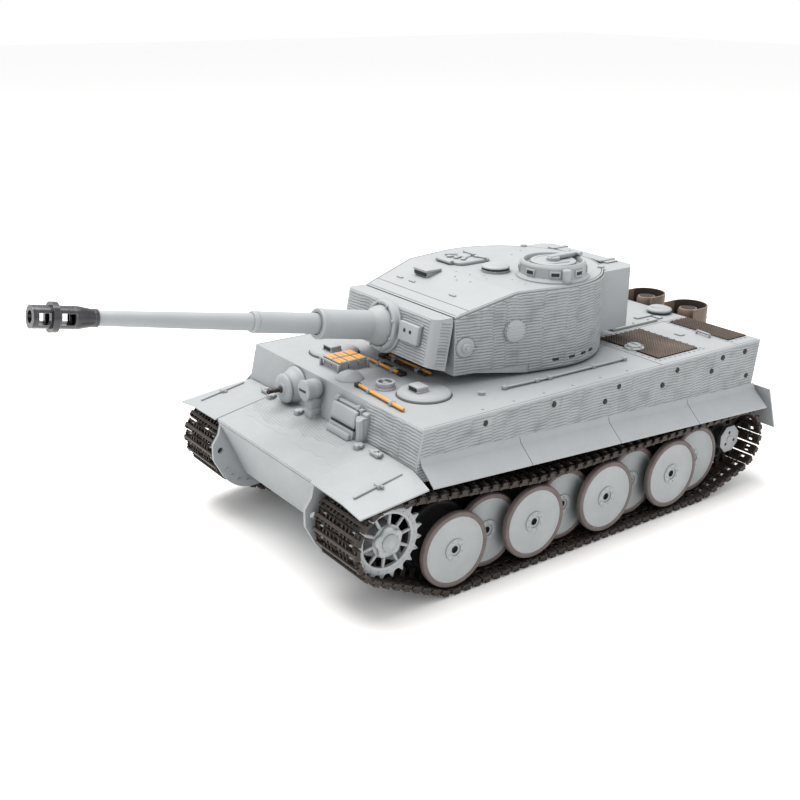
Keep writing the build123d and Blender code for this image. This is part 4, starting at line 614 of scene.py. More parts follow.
def flat_box(low, high, bevel=0.0, taper=1.0):
    """A box of the link, about the world's middle, in millimetres."""
    clear_selection()
    low, high = Vector(low) * MM, Vector(high) * MM
    bpy.ops.mesh.primitive_cube_add(size=1, location=(low + high) / 2)
    box = bpy.context.active_object
    box.scale = high - low
    settle(box)
    if taper != 1.0:
        middle_y = (low.y + high.y) / 2
        middle_x = (low.x + high.x) / 2
        for vertex in box.data.vertices:
            if abs(vertex.co.z - low.z) < 0.00001:
                vertex.co.x = middle_x + (vertex.co.x - middle_x) * taper
                vertex.co.y = middle_y + (vertex.co.y - middle_y) * taper
    if bevel:
        soften(box, bevel, 1)
    return box


half_wide = LINK_WIDE / 2
link_parts = [flat_box((-half_wide + 0.3, -1.1, 2.3), (half_wide - 0.3, 1.1, LINK_THICK), 0.35)]
for low_x, high_x in ((-half_wide, -17.0), (-13.3, -1.4), (1.4, 13.3), (17.0, half_wide)):
    link_parts.append(flat_box((low_x, -3.5, 0.3), (high_x, 3.5, 2.5), 0.3))
link_parts.append(flat_box((-half_wide + 1, -3.7, 0.0), (half_wide - 1, -2.1, 1.9), 0.4))
link_parts.append(flat_box((-half_wide + 1, 2.1, 0.0), (half_wide - 1, 3.7, 1.9), 0.4))
for rib_x in (-20.9, -12.0, -8.4, -4.6, 4.6, 8.4, 12.0, 20.9):
    link_parts.append(flat_box((rib_x - 0.55, -3.3, 2.3), (rib_x + 0.55, 3.3, 3.6)))
for end in (-1, 1):
    low_x, high_x = sorted((end * (half_wide - 2.2), end * half_wide))
    link_parts.append(flat_box((low_x, -2.9, 1.4), (high_x, 1.0, 4.3), 0.3))
    horn_low, horn_high = sorted((end * 3.9, end * 6.1))
    link_parts.append(flat_box((horn_low, -1.9, -5.0), (horn_high, 1.9, 0.6), 0.0, 0.55))
    clear_selection()
    bpy.ops.mesh.primitive_cylinder_add(vertices=8, radius=1.0 * MM, depth=0.9 * MM, rotation=(0, math.pi / 2, 0),
                                        location=(end * (half_wide + 0.15) * MM, 3.1 * MM, 1.3 * MM))
    link_parts.append(settle(bpy.context.active_object))
link = join("track_link", link_parts, track_iron)
link_mesh = link.data
stretches = track_stretches()
round_trip = sum(stretch[3] for stretch in stretches)
whole = bmesh.new()
for count in range(LINKS):
    y, z, angle = track_place(stretches, (count + 0.5) * round_trip / LINKS)
    before = len(whole.verts)
    whole.from_mesh(link_mesh)
    whole.verts.ensure_lookup_table()
    place = Matrix.Translation(tank(TRACK_X, y, z)) @ Matrix.Rotation(angle - math.pi / 2, 4, "X")
    bmesh.ops.transform(whole, matrix=place, verts=whole.verts[before:])
track_mesh = bpy.data.meshes.new("track_links_left")
whole.to_mesh(track_mesh)
whole.free()
track_mesh.materials.append(track_iron)
track_left = bpy.data.objects.new("track_links_left", track_mesh)
bpy.context.scene.collection.objects.link(track_left)
bpy.data.objects.remove(link)
track_right = copied(track_left, "track_links_right", MIRROR)
fix(track_left, "hull", "track_left")
fix(track_right, "hull", "track_right")

# ---- Anti-mine paste -------------------------------------------------------
# The walls are covered with paste that was combed into level ridges, strip beside strip. It is the same
# grey plastic, moulded in relief on the hull's sides, the front plate, the turret and the gun shield.


def ridge_height(u, v, pitch, strip, seed):
    """Relief of the combed paste, from 0 to 1, u along the wall and v up it, in millimetres."""
    sway = noise.noise(Vector((u * 0.05, v * 0.11, seed)))
    column = math.floor((u + 1.2 * sway) / strip)
    within = (u + 1.2 * sway) / strip - column
    shift = noise.noise(Vector((column * 7.31, seed * 3.7, 0.5))) * 1.6
    arc = 0.30 * (within - 0.5) ** 2 + 0.14 * (within - 0.5) * math.copysign(1, shift)
    wander = 0.45 * noise.noise(Vector((u * 0.16, v * 0.22, seed + 4)))
    ridge = abs(math.sin(math.pi * ((v / pitch) + shift + arc + wander * 0.35)))
    ridge = ridge ** 0.6
    border = min(within, 1 - within) * strip
    seam = 0.72 + 0.28 * min(1.0, border / 0.45)
    strength = 0.72 + 0.4 * noise.noise(Vector((u * 0.08, v * 0.15, seed + 9)))
    return ridge * seam * strength


def paste_sheet(name, long, high, place, seed, relief=0.8, pitch=1.95, strip=9.3, low=None, roof=None, bare=None,
                depth=1.0):
    """A thin relief on a wall. place(u, v) gives a point on the wall and the way it faces.

    low(u) and roof(u) are where the sheet starts and ends; bare(u, v) says where the paste is left out;
    depth is how dark the painted shade in the hollows is, from 0 to 1."""
    columns = round(long / 1.03)
    rows = round(high / 0.325)
    clear_selection()
    bpy.ops.mesh.primitive_grid_add(x_subdivisions=columns, y_subdivisions=rows, size=1, location=(0, 0, 0))
    sheet = bpy.context.active_object
    sheet.name = name
    mesh = sheet.data
    outside = set()
    hollow_shade_marks = mesh.attributes.new("relief", "FLOAT", "POINT")
    for vertex in mesh.vertices:
        u = (vertex.co.x + 0.5) * long
        v = (vertex.co.y + 0.5) * high
        top = roof(u) if roof else high
        base = low(u) if low else 0.0
        if v > top + 0.33 or v < base - 0.33:
            outside.add(vertex.index)
        v = max(base, min(v, top))
        edge = min(u, long - u, v - base, top - v)
        fade = max(0.0, min(1.0, edge / 0.8))
        if bare and bare(u, v):
            fade = 0.0
        ridge = ridge_height(u, v, pitch, strip, seed)
        # Painted shade: the relief attribute darkens the hollows between the ridges.
        hollow_shade_marks.data[vertex.index].value = 1.0 - fade * depth * (1.0 - min(1.0, ridge * 1.6))
        rise = (-0.02 if edge < 0.05 else 0.06) + relief * fade * ridge
        point, facing = place(u, v)
        vertex.co = point + facing * (rise * MM)
    if outside:
        shape = bmesh.new()
        shape.from_mesh(mesh)
        shape.verts.ensure_lookup_table()
        bmesh.ops.delete(shape, geom=[shape.verts[index] for index in outside], context="VERTS")
        shape.to_mesh(mesh)
        shape.free()
    for polygon in mesh.polygons:
        polygon.use_smooth = True
    mesh.materials.append(paste_plastic)
    return sheet


paste_plastic = finish_material("combed paste", (0.298, 0.318, 0.334), (0.275, 0.295, 0.31), 0.55, grain=700,
                                grain_depth=0.00008, crevice=0.35)


def darken_hollows(material, attribute, hollow):
    """Painted shade: multiplies the colour by hollow where the named mesh attribute is 0."""
    nodes, links = nodes_of(material)
    shader = nodes["Principled BSDF"]
    colour_link = shader.inputs["Base Color"].links[0]
    mark = add_node(material, "ShaderNodeAttribute", attribute_name=attribute)
    share = add_node(material, "ShaderNodeMapRange", {"Value": mark.outputs["Fac"], "To Min": hollow, "To Max": 1.0})
    dark = add_node(material, "ShaderNodeVectorMath", {0: colour_link.from_socket, "Scale": share.outputs["Result"]},
                    operation="SCALE")
    links.new(dark.outputs["Vector"], shader.inputs["Base Color"])


# Painted shade in the hollows of the combed paste.
darken_hollows(paste_plastic, "relief", 0.26)
HULL_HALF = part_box("upper_hull")[1].x / MM
DECK_Z = 109.7
FRONT_BOTTOM = (-24.5, 86.0)
FRONT_TOP = (-19.0, DECK_Z)
REAR_BOTTOM_Y = IDLER_Y + 19.0
REAR_TOP_Y = REAR_BOTTOM_Y + 4.3
side_holes = [(y, 103.5) for y in (27.0, 83.0, 141.0, 198.0, 246.0, 270.5)]
side_holes += [(y, 95.5) for y in (129.0, 184.0, 235.0)] + [(275.0, 84.5)]


def front_edge_y(z):
    return FRONT_BOTTOM[0] + (z - FRONT_BOTTOM[1]) / (DECK_Z - FRONT_BOTTOM[1]) * (FRONT_TOP[0] - FRONT_BOTTOM[0])


def rear_edge_y(z):
    return REAR_BOTTOM_Y + max(0.0, z - 77.0) / (DECK_Z - 77.0) * 4.3


SIDE_LOW_Z = 76.8
side_length = REAR_TOP_Y - FRONT_BOTTOM[0]


def left_wall(u, v):
    z = SIDE_LOW_Z + v
    front, rear = front_edge_y(max(z, 86.0)), rear_edge_y(z)
    y = front + 0.1 + (rear - front - 0.2) * u / side_length
    return tank(HULL_HALF, y, z), Vector((1, 0, 0))


def near_hole(u, v):
    y, z = FRONT_BOTTOM[0] + u, SIDE_LOW_Z + v
    return any(math.hypot(y - hole_y, z - hole_z) < 2.4 for hole_y, hole_z in side_holes)


side_paste = paste_sheet("hull_side_paste", side_length, DECK_Z - 1.2 - SIDE_LOW_Z, left_wall, 3.0, relief=0.55,
                         bare=near_hole)
rims = []
for hole_y, hole_z in side_holes:
    rims.append(turned([(-0.05, 1.9), (0.5, 1.9), (0.55, 1.8), (0.55, 0)], (HULL_HALF, hole_y, hole_z), steps=20))
rim_set = join("hull_side_holes_left", rims, black_gap)
fix(copied(side_paste, "hull_side_paste_right", MIRROR), "hull")
fix(copied(rim_set, "hull_side_holes_right", MIRROR), "hull")
fix(side_paste, "hull").name = "hull_side_paste_left"
fix(rim_set, "hull")

front_high = math.hypot(FRONT_TOP[0] - FRONT_BOTTOM[0], DECK_Z - FRONT_BOTTOM[1]) - 0.6
front_up = Vector((0, FRONT_TOP[0] - FRONT_BOTTOM[0], DECK_Z - FRONT_BOTTOM[1])).normalized()
front_out = Vector((0, -front_up.z, front_up.y))


def front_wall(u, v):
    return tank(HULL_HALF - 0.2 - u, FRONT_BOTTOM[0], FRONT_BOTTOM[1]) + front_up * ((v + 0.3) * MM), front_out


def front_bare(u, v):
    return HULL_HALF - u < 43.0 + 1.5 * noise.noise(Vector((v * 0.4, 2.0, 0)))


fix(paste_sheet("front_plate_paste", 2 * HULL_HALF - 0.4, front_high, front_wall, 11.0, relief=0.6, bare=front_bare),
    "hull")
GLACIS_FRONT = (-70.7, 77.0)
glacis_back = Vector((0, FRONT_BOTTOM[0] - GLACIS_FRONT[0], FRONT_BOTTOM[1] - GLACIS_FRONT[1])).normalized()
glacis_out = Vector((0, -glacis_back.z, glacis_back.y))


def glacis_wall(u, v):
    start = tank(60 - u, FRONT_BOTTOM[0], FRONT_BOTTOM[1])
    ragged = 1.0 + 0.18 * noise.noise(Vector((u * 0.09, 3.1, 0)))
    return start - glacis_back * ((30.0 - v) * ragged * MM), glacis_out


def glacis_bare(u, v):
    x = 60 - u
    far = 27.0 - 0.16 * abs(x + 32) + 3.0 * noise.noise(Vector((u * 0.12, v * 0.2, 6)))
    return 30.0 - v > far or x > 40.0


fix(paste_sheet("glacis_paste", 120.0, 30.0, glacis_wall, 17.0, relief=0.22, pitch=1.9, strip=9.5,
                bare=glacis_bare, depth=0.45), "hull")

# ---- Turret ----------------------------------------------------------------
# A horseshoe wall of one moulding with a flat roof, sloped down at the front. The wall carries the
# paste relief, a pistol port boss, a round port cover and four slots low down, over a plain skirt ring.
TURRET_Y = (joints["turret_traverse"]["pos_m"][1] - AXLE_Y) / MM
SKIRT_LOW, TURRET_LOW, TURRET_HIGH = 111.2, 116.4, 166.0
CHEEK_X, CHEEK_Y, TURRET_RADIUS = 50.0, 41.0, 64.5
turret_reach = math.hypot(CHEEK_X, TURRET_Y - CHEEK_Y)
touch_angle = math.atan2(CHEEK_Y - TURRET_Y, CHEEK_X) + math.acos(TURRET_RADIUS / turret_reach)
touch = (TURRET_RADIUS * math.cos(touch_angle), TURRET_Y + TURRET_RADIUS * math.sin(touch_angle))
cheek_length = math.hypot(touch[0] - CHEEK_X, touch[1] - CHEEK_Y)
back_angle = math.pi - 2 * touch_angle
wall_length = 2 * cheek_length + TURRET_RADIUS * back_angle
show_cad("turret_shell", grey_plastic)


def horseshoe_at(u):
    """X and Y on the turret wall, and the way it faces, u millimetres from the left front corner."""
    if u < cheek_length or u > wall_length - cheek_length:
        sign = 1 if u < cheek_length else -1
        share = (u if sign > 0 else wall_length - u) / cheek_length
        x = CHEEK_X + share * (touch[0] - CHEEK_X)
        y = CHEEK_Y + share * (touch[1] - CHEEK_Y)
        return sign * x, y, Vector((sign * math.cos(touch_angle), math.sin(touch_angle), 0))
    angle = touch_angle + (u - cheek_length) / TURRET_RADIUS
    return (TURRET_RADIUS * math.cos(angle), TURRET_Y + TURRET_RADIUS * math.sin(angle),
            Vector((math.cos(angle), math.sin(angle), 0)))


def roof_z(y):
    return min(TURRET_HIGH, TURRET_HIGH - 11.3 * (85.0 - y) / 44.0)


def turret_wall(u, v):
    x, y, facing = horseshoe_at(u)
    return tank(x, y, SKIRT_LOW + v), facing


def turret_base(u):
    return 0.3 if horseshoe_at(u)[1] > 95 else TURRET_LOW - SKIRT_LOW + 0.2


def turret_top(u):
    return roof_z(horseshoe_at(u)[1]) - SKIRT_LOW - 1.3


def turret_bare(u, v):
    x, y, facing = horseshoe_at(u)
    z = SKIRT_LOW + v
    if x < 0:
        return math.hypot(y - 84, z - 141) < 6.9
    boss = math.hypot(y - 48.4, z - 134.6) < 6.9 or math.hypot((y - 84) / 8.2, (z - 141) / 7.6) < 0.95
    return boss


fix(paste_sheet("turret_paste", wall_length, TURRET_HIGH - SKIRT_LOW - 1.0, turret_wall, 23.0, relief=0.85,
                low=turret_base, roof=turret_top, bare=turret_bare), "turret")
skirt_rows = []
for step in range(145):
    x, y, facing = horseshoe_at(wall_length * step / 144)
    if y > 56:
        low_z = TURRET_LOW - (TURRET_LOW - SKIRT_LOW) * min(1.0, (y - 56) / 38)
        section = ((0.02, TURRET_LOW + 0.4), (0.02, low_z), (-2.6, low_z), (-2.6, TURRET_LOW))
        skirt_rows.append([(x + facing.x * out, y + facing.y * out, z) for out, z in section])
skirt_mesh = bpy.data.meshes.new("turret_skirt")
skirt_points = [tuple(tank(*corner)) for row in skirt_rows for corner in row]
skirt_faces = [(4 * i + j, 4 * i + 4 + j, 4 * i + 5 + j, 4 * i + 1 + j)
               for i in range(len(skirt_rows) - 1) for j in range(3)]
skirt_mesh.from_pydata(skirt_points, [], skirt_faces)
skirt = bpy.data.objects.new("turret_skirt", skirt_mesh)
bpy.context.scene.collection.objects.link(skirt)
skirt_mesh.materials.append(grey_plastic)
fix(skirt, "turret")


def wall_frame(y, z):
    """A matrix whose Z points out of the left turret wall at that place, X backwards and Y up."""
    u = (y - CHEEK_Y) / (touch[1] - CHEEK_Y) * cheek_length
    if y > touch[1]:
        u = cheek_length + TURRET_RADIUS * (math.asin(min(1.0, (y - TURRET_Y) / TURRET_RADIUS)) - touch_angle)
    x, y, facing = horseshoe_at(u)
    back = Vector((0, 0, 1)).cross(facing)
    turn = Matrix((back, Vector((0, 0, 1)), facing)).transposed().to_4x4()
    return Matrix.Translation(tank(x, y, z)) @ turn


ORIGIN_SHIFT = Matrix.Translation(-tank(0, 0, 0))
PORT_Y, PORT_Z = 48.4, 134.6
COVER_Y, COVER_Z, COVER_GRIP = 84.0, 141.0, 7.4
SLOT_Z = 117.3
port = [turned([(-0.3, 6.6), (0.8, 6.5), (1.6, 5.9), (1.9, 5.2), (1.9, 3.6), (2.9, 3.3), (3.4, 2.6), (3.5, 0)],
               (0, 0, 0), axis="Z", steps=40)]
port.append(rod((0, 0, 3.2), (9.0, -1.6, 1.2), 0.75, 0.15, 12, 0.5))
port.append(block((-1.0, -1.2, 3.2), (1.4, 1.2, 4.3), 0.3))
port = join("turret_pistol_port", port, grey_plastic)
port.data.transform(wall_frame(PORT_Y, PORT_Z) @ ORIGIN_SHIFT)
fix(port, "turret")
cover = turned([(-0.3, 7.9), (1.0, 7.7), (2.0, 6.9), (2.5, 5.4), (2.7, 0)], (0, 0, 0), axis="Z", steps=44)
cover_parts = [cover]
for offset in (-5.6, -3.8, -1.9, 0.0, 1.9, 3.8, 5.6):
    half = math.sqrt(COVER_GRIP ** 2 - offset ** 2)
    drop = 0.5 if abs(offset) > 5 else 0.0
    cover_parts.append(rod((-half, offset, 1.9 - drop), (half, offset + 0.3, 1.9 - drop), 0.85, 0.3, 10))
cover = join("turret_port_cover", cover_parts, grey_plastic)
cover_right = copied(cover, "turret_port_cover_right", Matrix.Identity(4))
cover.data.transform(wall_frame(COVER_Y, COVER_Z) @ ORIGIN_SHIFT)
cover_right.data.transform(MIRROR @ wall_frame(COVER_Y, COVER_Z) @ ORIGIN_SHIFT)
fix(cover, "turret")
fix(cover_right, "turret")
slots = []
for slot_y in (116.5, 130.0, 141.5, 150.5):
    slot_piece = block((-2.4, -0.9, -0.2), (2.4, 0.9, 1.0), 0.25)
    slot_piece.data.transform(wall_frame(slot_y, SLOT_Z) @ ORIGIN_SHIFT)
    slots.append(slot_piece)
slots = join("turret_wall_slots", slots, black_gap)
fix(copied(slots, "turret_wall_slots_right", MIRROR), "turret")
fix(slots, "turret")

# ---- Turret roof -----------------------------------------------------------
# The roof plate sits in a narrow joint line inside the wall, with two welded strips across its front,
# a periscope cover, a mushroom ventilator, bolt heads and the loader's round plate.


def ribbon(points, width, side=None):
    """A thin flat strip through the points, in tank millimetres; side is the way its width lies."""
    rows = []
    for index, point in enumerate(points):
        ahead = Vector(points[min(index + 1, len(points) - 1)]) - Vector(points[max(index - 1, 0)])
        across = side or ahead.normalized().cross(Vector((0, 0, 1))).normalized()
        rows.append((Vector(point) + across * width / 2, Vector(point) - across * width / 2))
    mesh = bpy.data.meshes.new("ribbon")
    corners = [tuple(tank(*corner)) for row in rows for corner in row]
    faces = [(2 * i, 2 * i + 1, 2 * i + 3, 2 * i + 2) for i in range(len(rows) - 1)]
    mesh.from_pydata(corners, [], faces)
    strip = bpy.data.objects.new("ribbon", mesh)
    bpy.context.scene.collection.objects.link(strip)
    return strip


seam_dark = finish_material("seam shadow", (0.05, 0.045, 0.04), (0.035, 0.03, 0.028), 0.7, crevice=0.2)
roof_lines = []
inset = 1.7
edge_points = []
for step in range(121):
    x, y, facing = horseshoe_at(wall_length * step / 120)
    x, y = x - facing.x * inset, y - facing.y * inset
    if y > CHEEK_Y + 1:
        edge_points.append((x, y, roof_z(y) + 0.06))
roof_lines.append(ribbon(edge_points, 0.5))
for line_y in (CHEEK_Y + 2.2, CHEEK_Y + 11.0):
    reach = CHEEK_X + (line_y - CHEEK_Y) * 0.174 - 1.7
    roof_lines.append(ribbon([(-reach, line_y, roof_z(line_y) + 0.06), (reach, line_y, roof_z(line_y) + 0.06)], 0.45))
fix(join("roof_joint_lines", roof_lines, seam_dark), "turret")
roof_bits = []
for x, y in ((-0.5, 81), (5, 78), (16, 80.7), (11.6, 96), (19, 92), (4, 90), (-8, 88), (44, 104), (-49, 128),
             (30, 105), (-8, 146), (-24, 152), (8, 168), (-30, 166)):
    roof_bits.append(turned([(0, 0.75), (0.35, 0.6), (0.42, 0)], (x, y, roof_z(y)), axis="Z", steps=12))
roof_bits.append(block((-30.4, 69.6, 160.5), (-16.6, 81.4, 165.6), 0.6))
roof_bits.append(block((-31.0, 68.4, 165.4), (-16.0, 81.8, 167.35), 0.5))
roof_bits.append(turned([(0, 9.9), (1.3, 9.8), (1.7, 9.4), (1.7, 8.4)], (6, 111, 166), axis="Z", steps=8, angle=20))
roof_bits.append(turned([(2.9, 9.7), (3.3, 9.9), (3.9, 9.6), (4.5, 8.4), (4.95, 6.0), (5.15, 3.0), (5.2, 0)],
                        (6, 111, 166), axis="Z", steps=48))
for count in range(6):
    angle = count * math.pi / 3
    x, y = 6 + 9.0 * math.cos(angle), 111 + 9.0 * math.sin(angle)
    roof_bits.append(rod((x, y, 167.6), (x, y, 168.2), 0.6, 0.1, 6))
for x in (-36, -22, 22):
    roof_bits.append(block((x - 3, 60, roof_z(60) - 0.5), (x + 3, 62, roof_z(62) + 0.5), 0.3))
for x, y in ((-40, 178), (40, 178)):
    roof_bits.append(turned([(0, 2.6), (1.2, 2.4), (1.6, 1.6), (1.7, 0)], (x, y, 166), axis="Z", steps=20))
fix(join("roof_fittings", roof_bits, grey_plastic), "turret")
roof_dark = [turned([(1.6, 9.55), (3.1, 9.55)], (6, 111, 166), axis="Z", steps=32),
             block((-29.6, 68.2, 163.3), (-17.4, 69.8, 165.5), 0.1)]
fix(join("roof_dark_slots", roof_dark, black_gap), "turret")

# ---- Loader's hatch --------------------------------------------------------
# A round-cornered plate with dog levers, hinge blocks and a spring housing, all grey plastic.
show_cad("loader_hatch", grey_plastic)
dogs = []
for x, y, length, angle in ((-41, 106, 9, 60), (-35, 103, 8, 75), (-29, 104.5, 8, 100), (-23, 106, 7, 120),
                            (-24, 119, 8, 20), (-38, 121, 8, 150)):
    turn = math.radians(angle)
    end = (x + length * math.cos(turn), y + length * math.sin(turn))
    dogs.append(rod((x, y, 169.0), (end[0], end[1], 169.0), 1.15, 0.3, 10, 0.8))
    dogs.append(turned([(-0.6, 1.9), (1.1, 1.8), (1.5, 1.2), (1.6, 0)], (x, y, 168.6), axis="Z", steps=20))
dogs.append(turned([(-0.4, 5.4), (0.6, 5.2), (1.1, 4.4), (1.2, 0)], (-32, 114, 168.5), axis="Z", steps=32))
fix(join("loader_hatch_dogs", dogs, grey_plastic), "loader_hatch")

# ---- Commander's cupola ----------------------------------------------------
# A cast drum on a flared base with eight vision slots, an open rim, and a lid that lies inside it on an
# arm; a spring housing stands against the drum's side.
CUPOLA = (37.0, 134.7, 166.0)
drum_outline = [(-0.3, 24.6), (0.9, 24.4), (2.0, 23.3), (2.7, 22.4), (8.6, 22.0), (9.2, 22.2), (9.8, 22.1),
                (10.7, 21.4), (11.45, 20.8), (11.5, 20.2), (11.3, 19.7), (10.4, 19.2), (8.0, 18.6), (7.6, 16.4),
                (7.4, 15.9), (3, 15.9)]
drum = turned(drum_outline, CUPOLA, axis="Z", steps=96)
drum_parts = [painted(drum, grey_plastic)]
for count in range(8):
    angle = math.radians(-84 + 45 * count)
    turn = (Matrix.Translation(tank(*CUPOLA)) @ Matrix.Rotation(angle, 4, "Z") @ ORIGIN_SHIFT)
    frame_piece = block((21.0, -3.6, 3.6), (22.9, 3.6, 8.1), 0.35)
    slot_piece = block((22.3, -2.7, 4.6), (23.0, 2.7, 7.0), 0.15)
    frame_piece.data.transform(turn)
    slot_piece.data.transform(turn)
    drum_parts += [painted(frame_piece, grey_plastic), painted(slot_piece, black_gap)]
housing_angle = math.radians(-20)
hx, hy = CUPOLA[0] + 22.6 * math.cos(housing_angle), CUPOLA[1] + 22.6 * math.sin(housing_angle)
housing = turned([(0, 3.2), (8.6, 3.2), (9.4, 2.7), (9.7, 0)], (hx, hy, 166.0), axis="Z", steps=28)
drum_parts.append(painted(housing, grey_plastic))
fix(join("cupola_look", drum_parts), "turret", "cupola")
lid = turned([(-0.4, 0), (-0.4, 15.2), (0.2, 15.5), (1.2, 15.3), (1.6, 14.6), (1.6, 12.6), (1.25, 12.3), (1.25, 0)],
             (CUPOLA[0], CUPOLA[1], 175.3), axis="Z", steps=64)
lid_parts = [lid, block((34.6, 131.0, 176.9), (39.4, 155.4, 180.1), 0.9, 3)]
lid_parts.append(rod((31.5, 155.2, 179.0), (42.5, 155.2, 179.0), 1.6, 0.3, 20))
lid_parts.append(turned([(-0.5, 4.6), (1.6, 4.4), (2.3, 3.6), (2.4, 0)], (CUPOLA[0], CUPOLA[1], 177.0), axis="Z",
                        steps=32))
lid_parts.append(rod((44.5, 124.0, 176.4), (47.0, 140.0, 176.4), 1.0, 0.3, 12))
fix(join("commander_hatch_look", lid_parts, grey_plastic), "commander_hatch", "commander_hatch")

# ---- Gun shield ------------------------------------------------------------
# A cast block with combed paste on its front and sides, a sight plate with two holes, and a bolted
# flange round the smooth sleeve that the barrel slides in.
ELEVATION = 10.8
gun_place = (Matrix.Translation(tank(0, 43.0, 137.0)) @ Matrix.Rotation(math.radians(-ELEVATION), 4, "X")
             @ ORIGIN_SHIFT)
show_cad("mantlet", grey_plastic)
SHIELD_HALF, SHIELD_FRONT = 49.5, 20.0


def shield_front(u, v):
    return gun_place @ tank(45.2 - u, -SHIELD_FRONT, -15.0 + v), gun_place.to_3x3() @ Vector((0, -1, 0))


def shield_bare(u, v):
    x, z = 45.2 - u, -15.0 + v
    return math.hypot(x, z) < 18.6 or (18.6 < x < 39.4 and -5.0 < z < 9.0)


def shield_side(sign):
    def place(u, v):
        lean = max(0.0, (v - 12.0) / 32.0)
        y = -SHIELD_FRONT + 4.7 + u * (1 - 0.12 * lean)
        return gun_place @ tank(sign * SHIELD_HALF, y, -14.6 + v), Vector((sign, 0, 0))
    return place


shield_pastes = [paste_sheet("shield_paste", 90.4, 29.6, shield_front, 31.0, relief=0.7, bare=shield_bare)]
for sign in (1, -1):
    shield_pastes.append(paste_sheet("shield_paste", 9.0, 29.2, shield_side(sign), 37.0 + sign, relief=0.55))
fix(join("shield_paste", shield_pastes), "gun_cradle")
flange = turned([(SHIELD_FRONT - 0.5, 18.2), (SHIELD_FRONT + 1.2, 17.9), (SHIELD_FRONT + 1.9, 17.0),
                 (SHIELD_FRONT + 3.4, 16.6), (SHIELD_FRONT + 4.6, 16.4), (SHIELD_FRONT + 5.4, 15.5),
                 (SHIELD_FRONT + 5.4, 14.2), (SHIELD_FRONT + 4.6, 13.4), (SHIELD_FRONT + 6.0, 12.9),
                 (SHIELD_FRONT + 8.0, 12.4), (SHIELD_FRONT + 11.0, 10.6), (SHIELD_FRONT + 13.5, 9.7),
                 (SHIELD_FRONT + 15.0, 9.45)], (0, 0, 0), axis="-Y", steps=72)
flange_parts = [flange]
for count in range(8):
    angle = math.radians(22.5 + 45 * count)
    x, z = 14.9 * math.cos(angle), 14.9 * math.sin(angle)
    flange_parts.append(turned([(25.2, 1.15), (26.0, 1.05), (26.3, 0.7), (26.35, 0)], (x, 0, z), axis="-Y", steps=12))
flange_parts.append(turned([(69.6, 9.42), (69.9, 9.85), (73.0, 9.85), (73.9, 9.2), (73.9, 7.2)], (0, 0, 0), axis="-Y",
                           steps=64))
sight = block((19.2, -24.1, -4.2), (38.8, -19.8, 8.2), 0.9, 3)
flange_parts.append(sight)
flange_parts.append(block((18.4, -21.2, 8.0), (39.6, -19.8, 9.6), 0.5))
flange = join("shield_flange", flange_parts, grey_plastic)
sight_holes = []
for x in (25.5, 31.5):
    sight_holes.append(turned([(24.0, 1.25), (24.25, 1.2), (24.25, 0)], (x, 0, 3.0), axis="-Y", steps=20))
sight_holes = join("shield_sight_holes", sight_holes, black_gap)
for piece in (flange, sight_holes):
    piece.data.transform(gun_place)
    fix(piece, "gun_cradle")

# ---- Barrel ----------------------------------------------------------------
# Turned grey tube in two steps: a thick collar with a groove near its end, then the long taper. The muzzle
# brake is a separate dark metal piece with two windows and a flange.
barrel = turned([(4.4, 2.4), (4.4, 6.4), (30.0, 6.6), (72.0, 6.6), (116.6, 6.65), (116.9, 6.25), (117.4, 6.25),
                 (117.7, 6.7), (119.7, 6.7), (120.4, 6.0), (120.5, 5.35), (168.0, 4.85), (212.6, 4.36), (212.9, 4.3),
                 (215.8, 4.3), (215.8, 2.5), (190.0, 2.5)], (0, 0, 0), axis="-Y", steps=64)
painted(barrel, grey_plastic)
barrel.name = "barrel_tube"
barrel.data.transform(gun_place)
fix(barrel, "barrel", "barrel")
brake_metal = finish_material("muzzle brake metal", (0.055, 0.055, 0.06), (0.035, 0.035, 0.04), 0.3, metallic=0.85,
                              edge=(0.25, 0.25, 0.27), crevice=0.6, coat=0.3)
show_cad("muzzle_brake", brake_metal)
brake_rings = []
for start, end, radius in ((215.9, 218.6, 5.15), (229.0, 230.2, 6.52), (249.4, 251.0, 6.45)):
    ring_outline = [(start, radius - 0.5), (start + 0.3, radius), (end - 0.3, radius), (end, radius - 0.5)]
    brake_rings.append(turned(ring_outline, (0, 0, 0), axis="-Y", steps=56))
brake_rings = join("muzzle_brake_rings", brake_rings, brake_metal)
brake_rings.data.transform(gun_place)
fix(brake_rings, "barrel")

# ---- Hull machine gun ------------------------------------------------------
# A grey ball with a flat disc in a two-step round housing on the front plate, and a black barrel.
black_gun = finish_material("black gun metal", (0.035, 0.028, 0.022), (0.022, 0.018, 0.015), 0.42, metallic=0.4,
                            edge=(0.12, 0.10, 0.085), crevice=0.5)
MG_X, MG_Z = -40, 96.0
MG_OUT = 1.2
mg_y = front_edge_y(MG_Z) + MG_OUT
MG_PLACE = (MG_X, mg_y, MG_Z)
ball_outline = [(-5.6, 3.0), (-5.6, 4.8), (-3.6, 6.5), (0, 7.35), (3.6, 6.5), (5.0, 5.2), (10.6, 5.0), (10.95, 5.9),
                (10.25, 7.2), (9.25, 8.5), (8.75, 9.2), (9.0, 9.9), (9.8, 10.2), (10.5, 9.9), (11.2, 9.0),
                (11.7, 7.6), (11.8, 4.6), (12.3, 4.2), (12.4, 2.4), (12.4, 0)]
ball = painted(turned(ball_outline, MG_PLACE, axis="-Y", steps=48), grey_plastic)
mg_barrel = turned([(12.6, 2.4), (13.4, 2.3), (13.7, 1.6), (17.0, 1.5), (17.9, 1.4), (20.6, 1.35), (21.0, 1.6),
                    (22.4, 1.65), (22.7, 1.4), (22.7, 0.7), (20.0, 0.6), (20.0, 0)], MG_PLACE, axis="-Y",
                   steps=28)
painted(mg_barrel, black_gun)
fix(join("hull_mg_look", [ball, mg_barrel]), "hull_mg", "hull_mg")

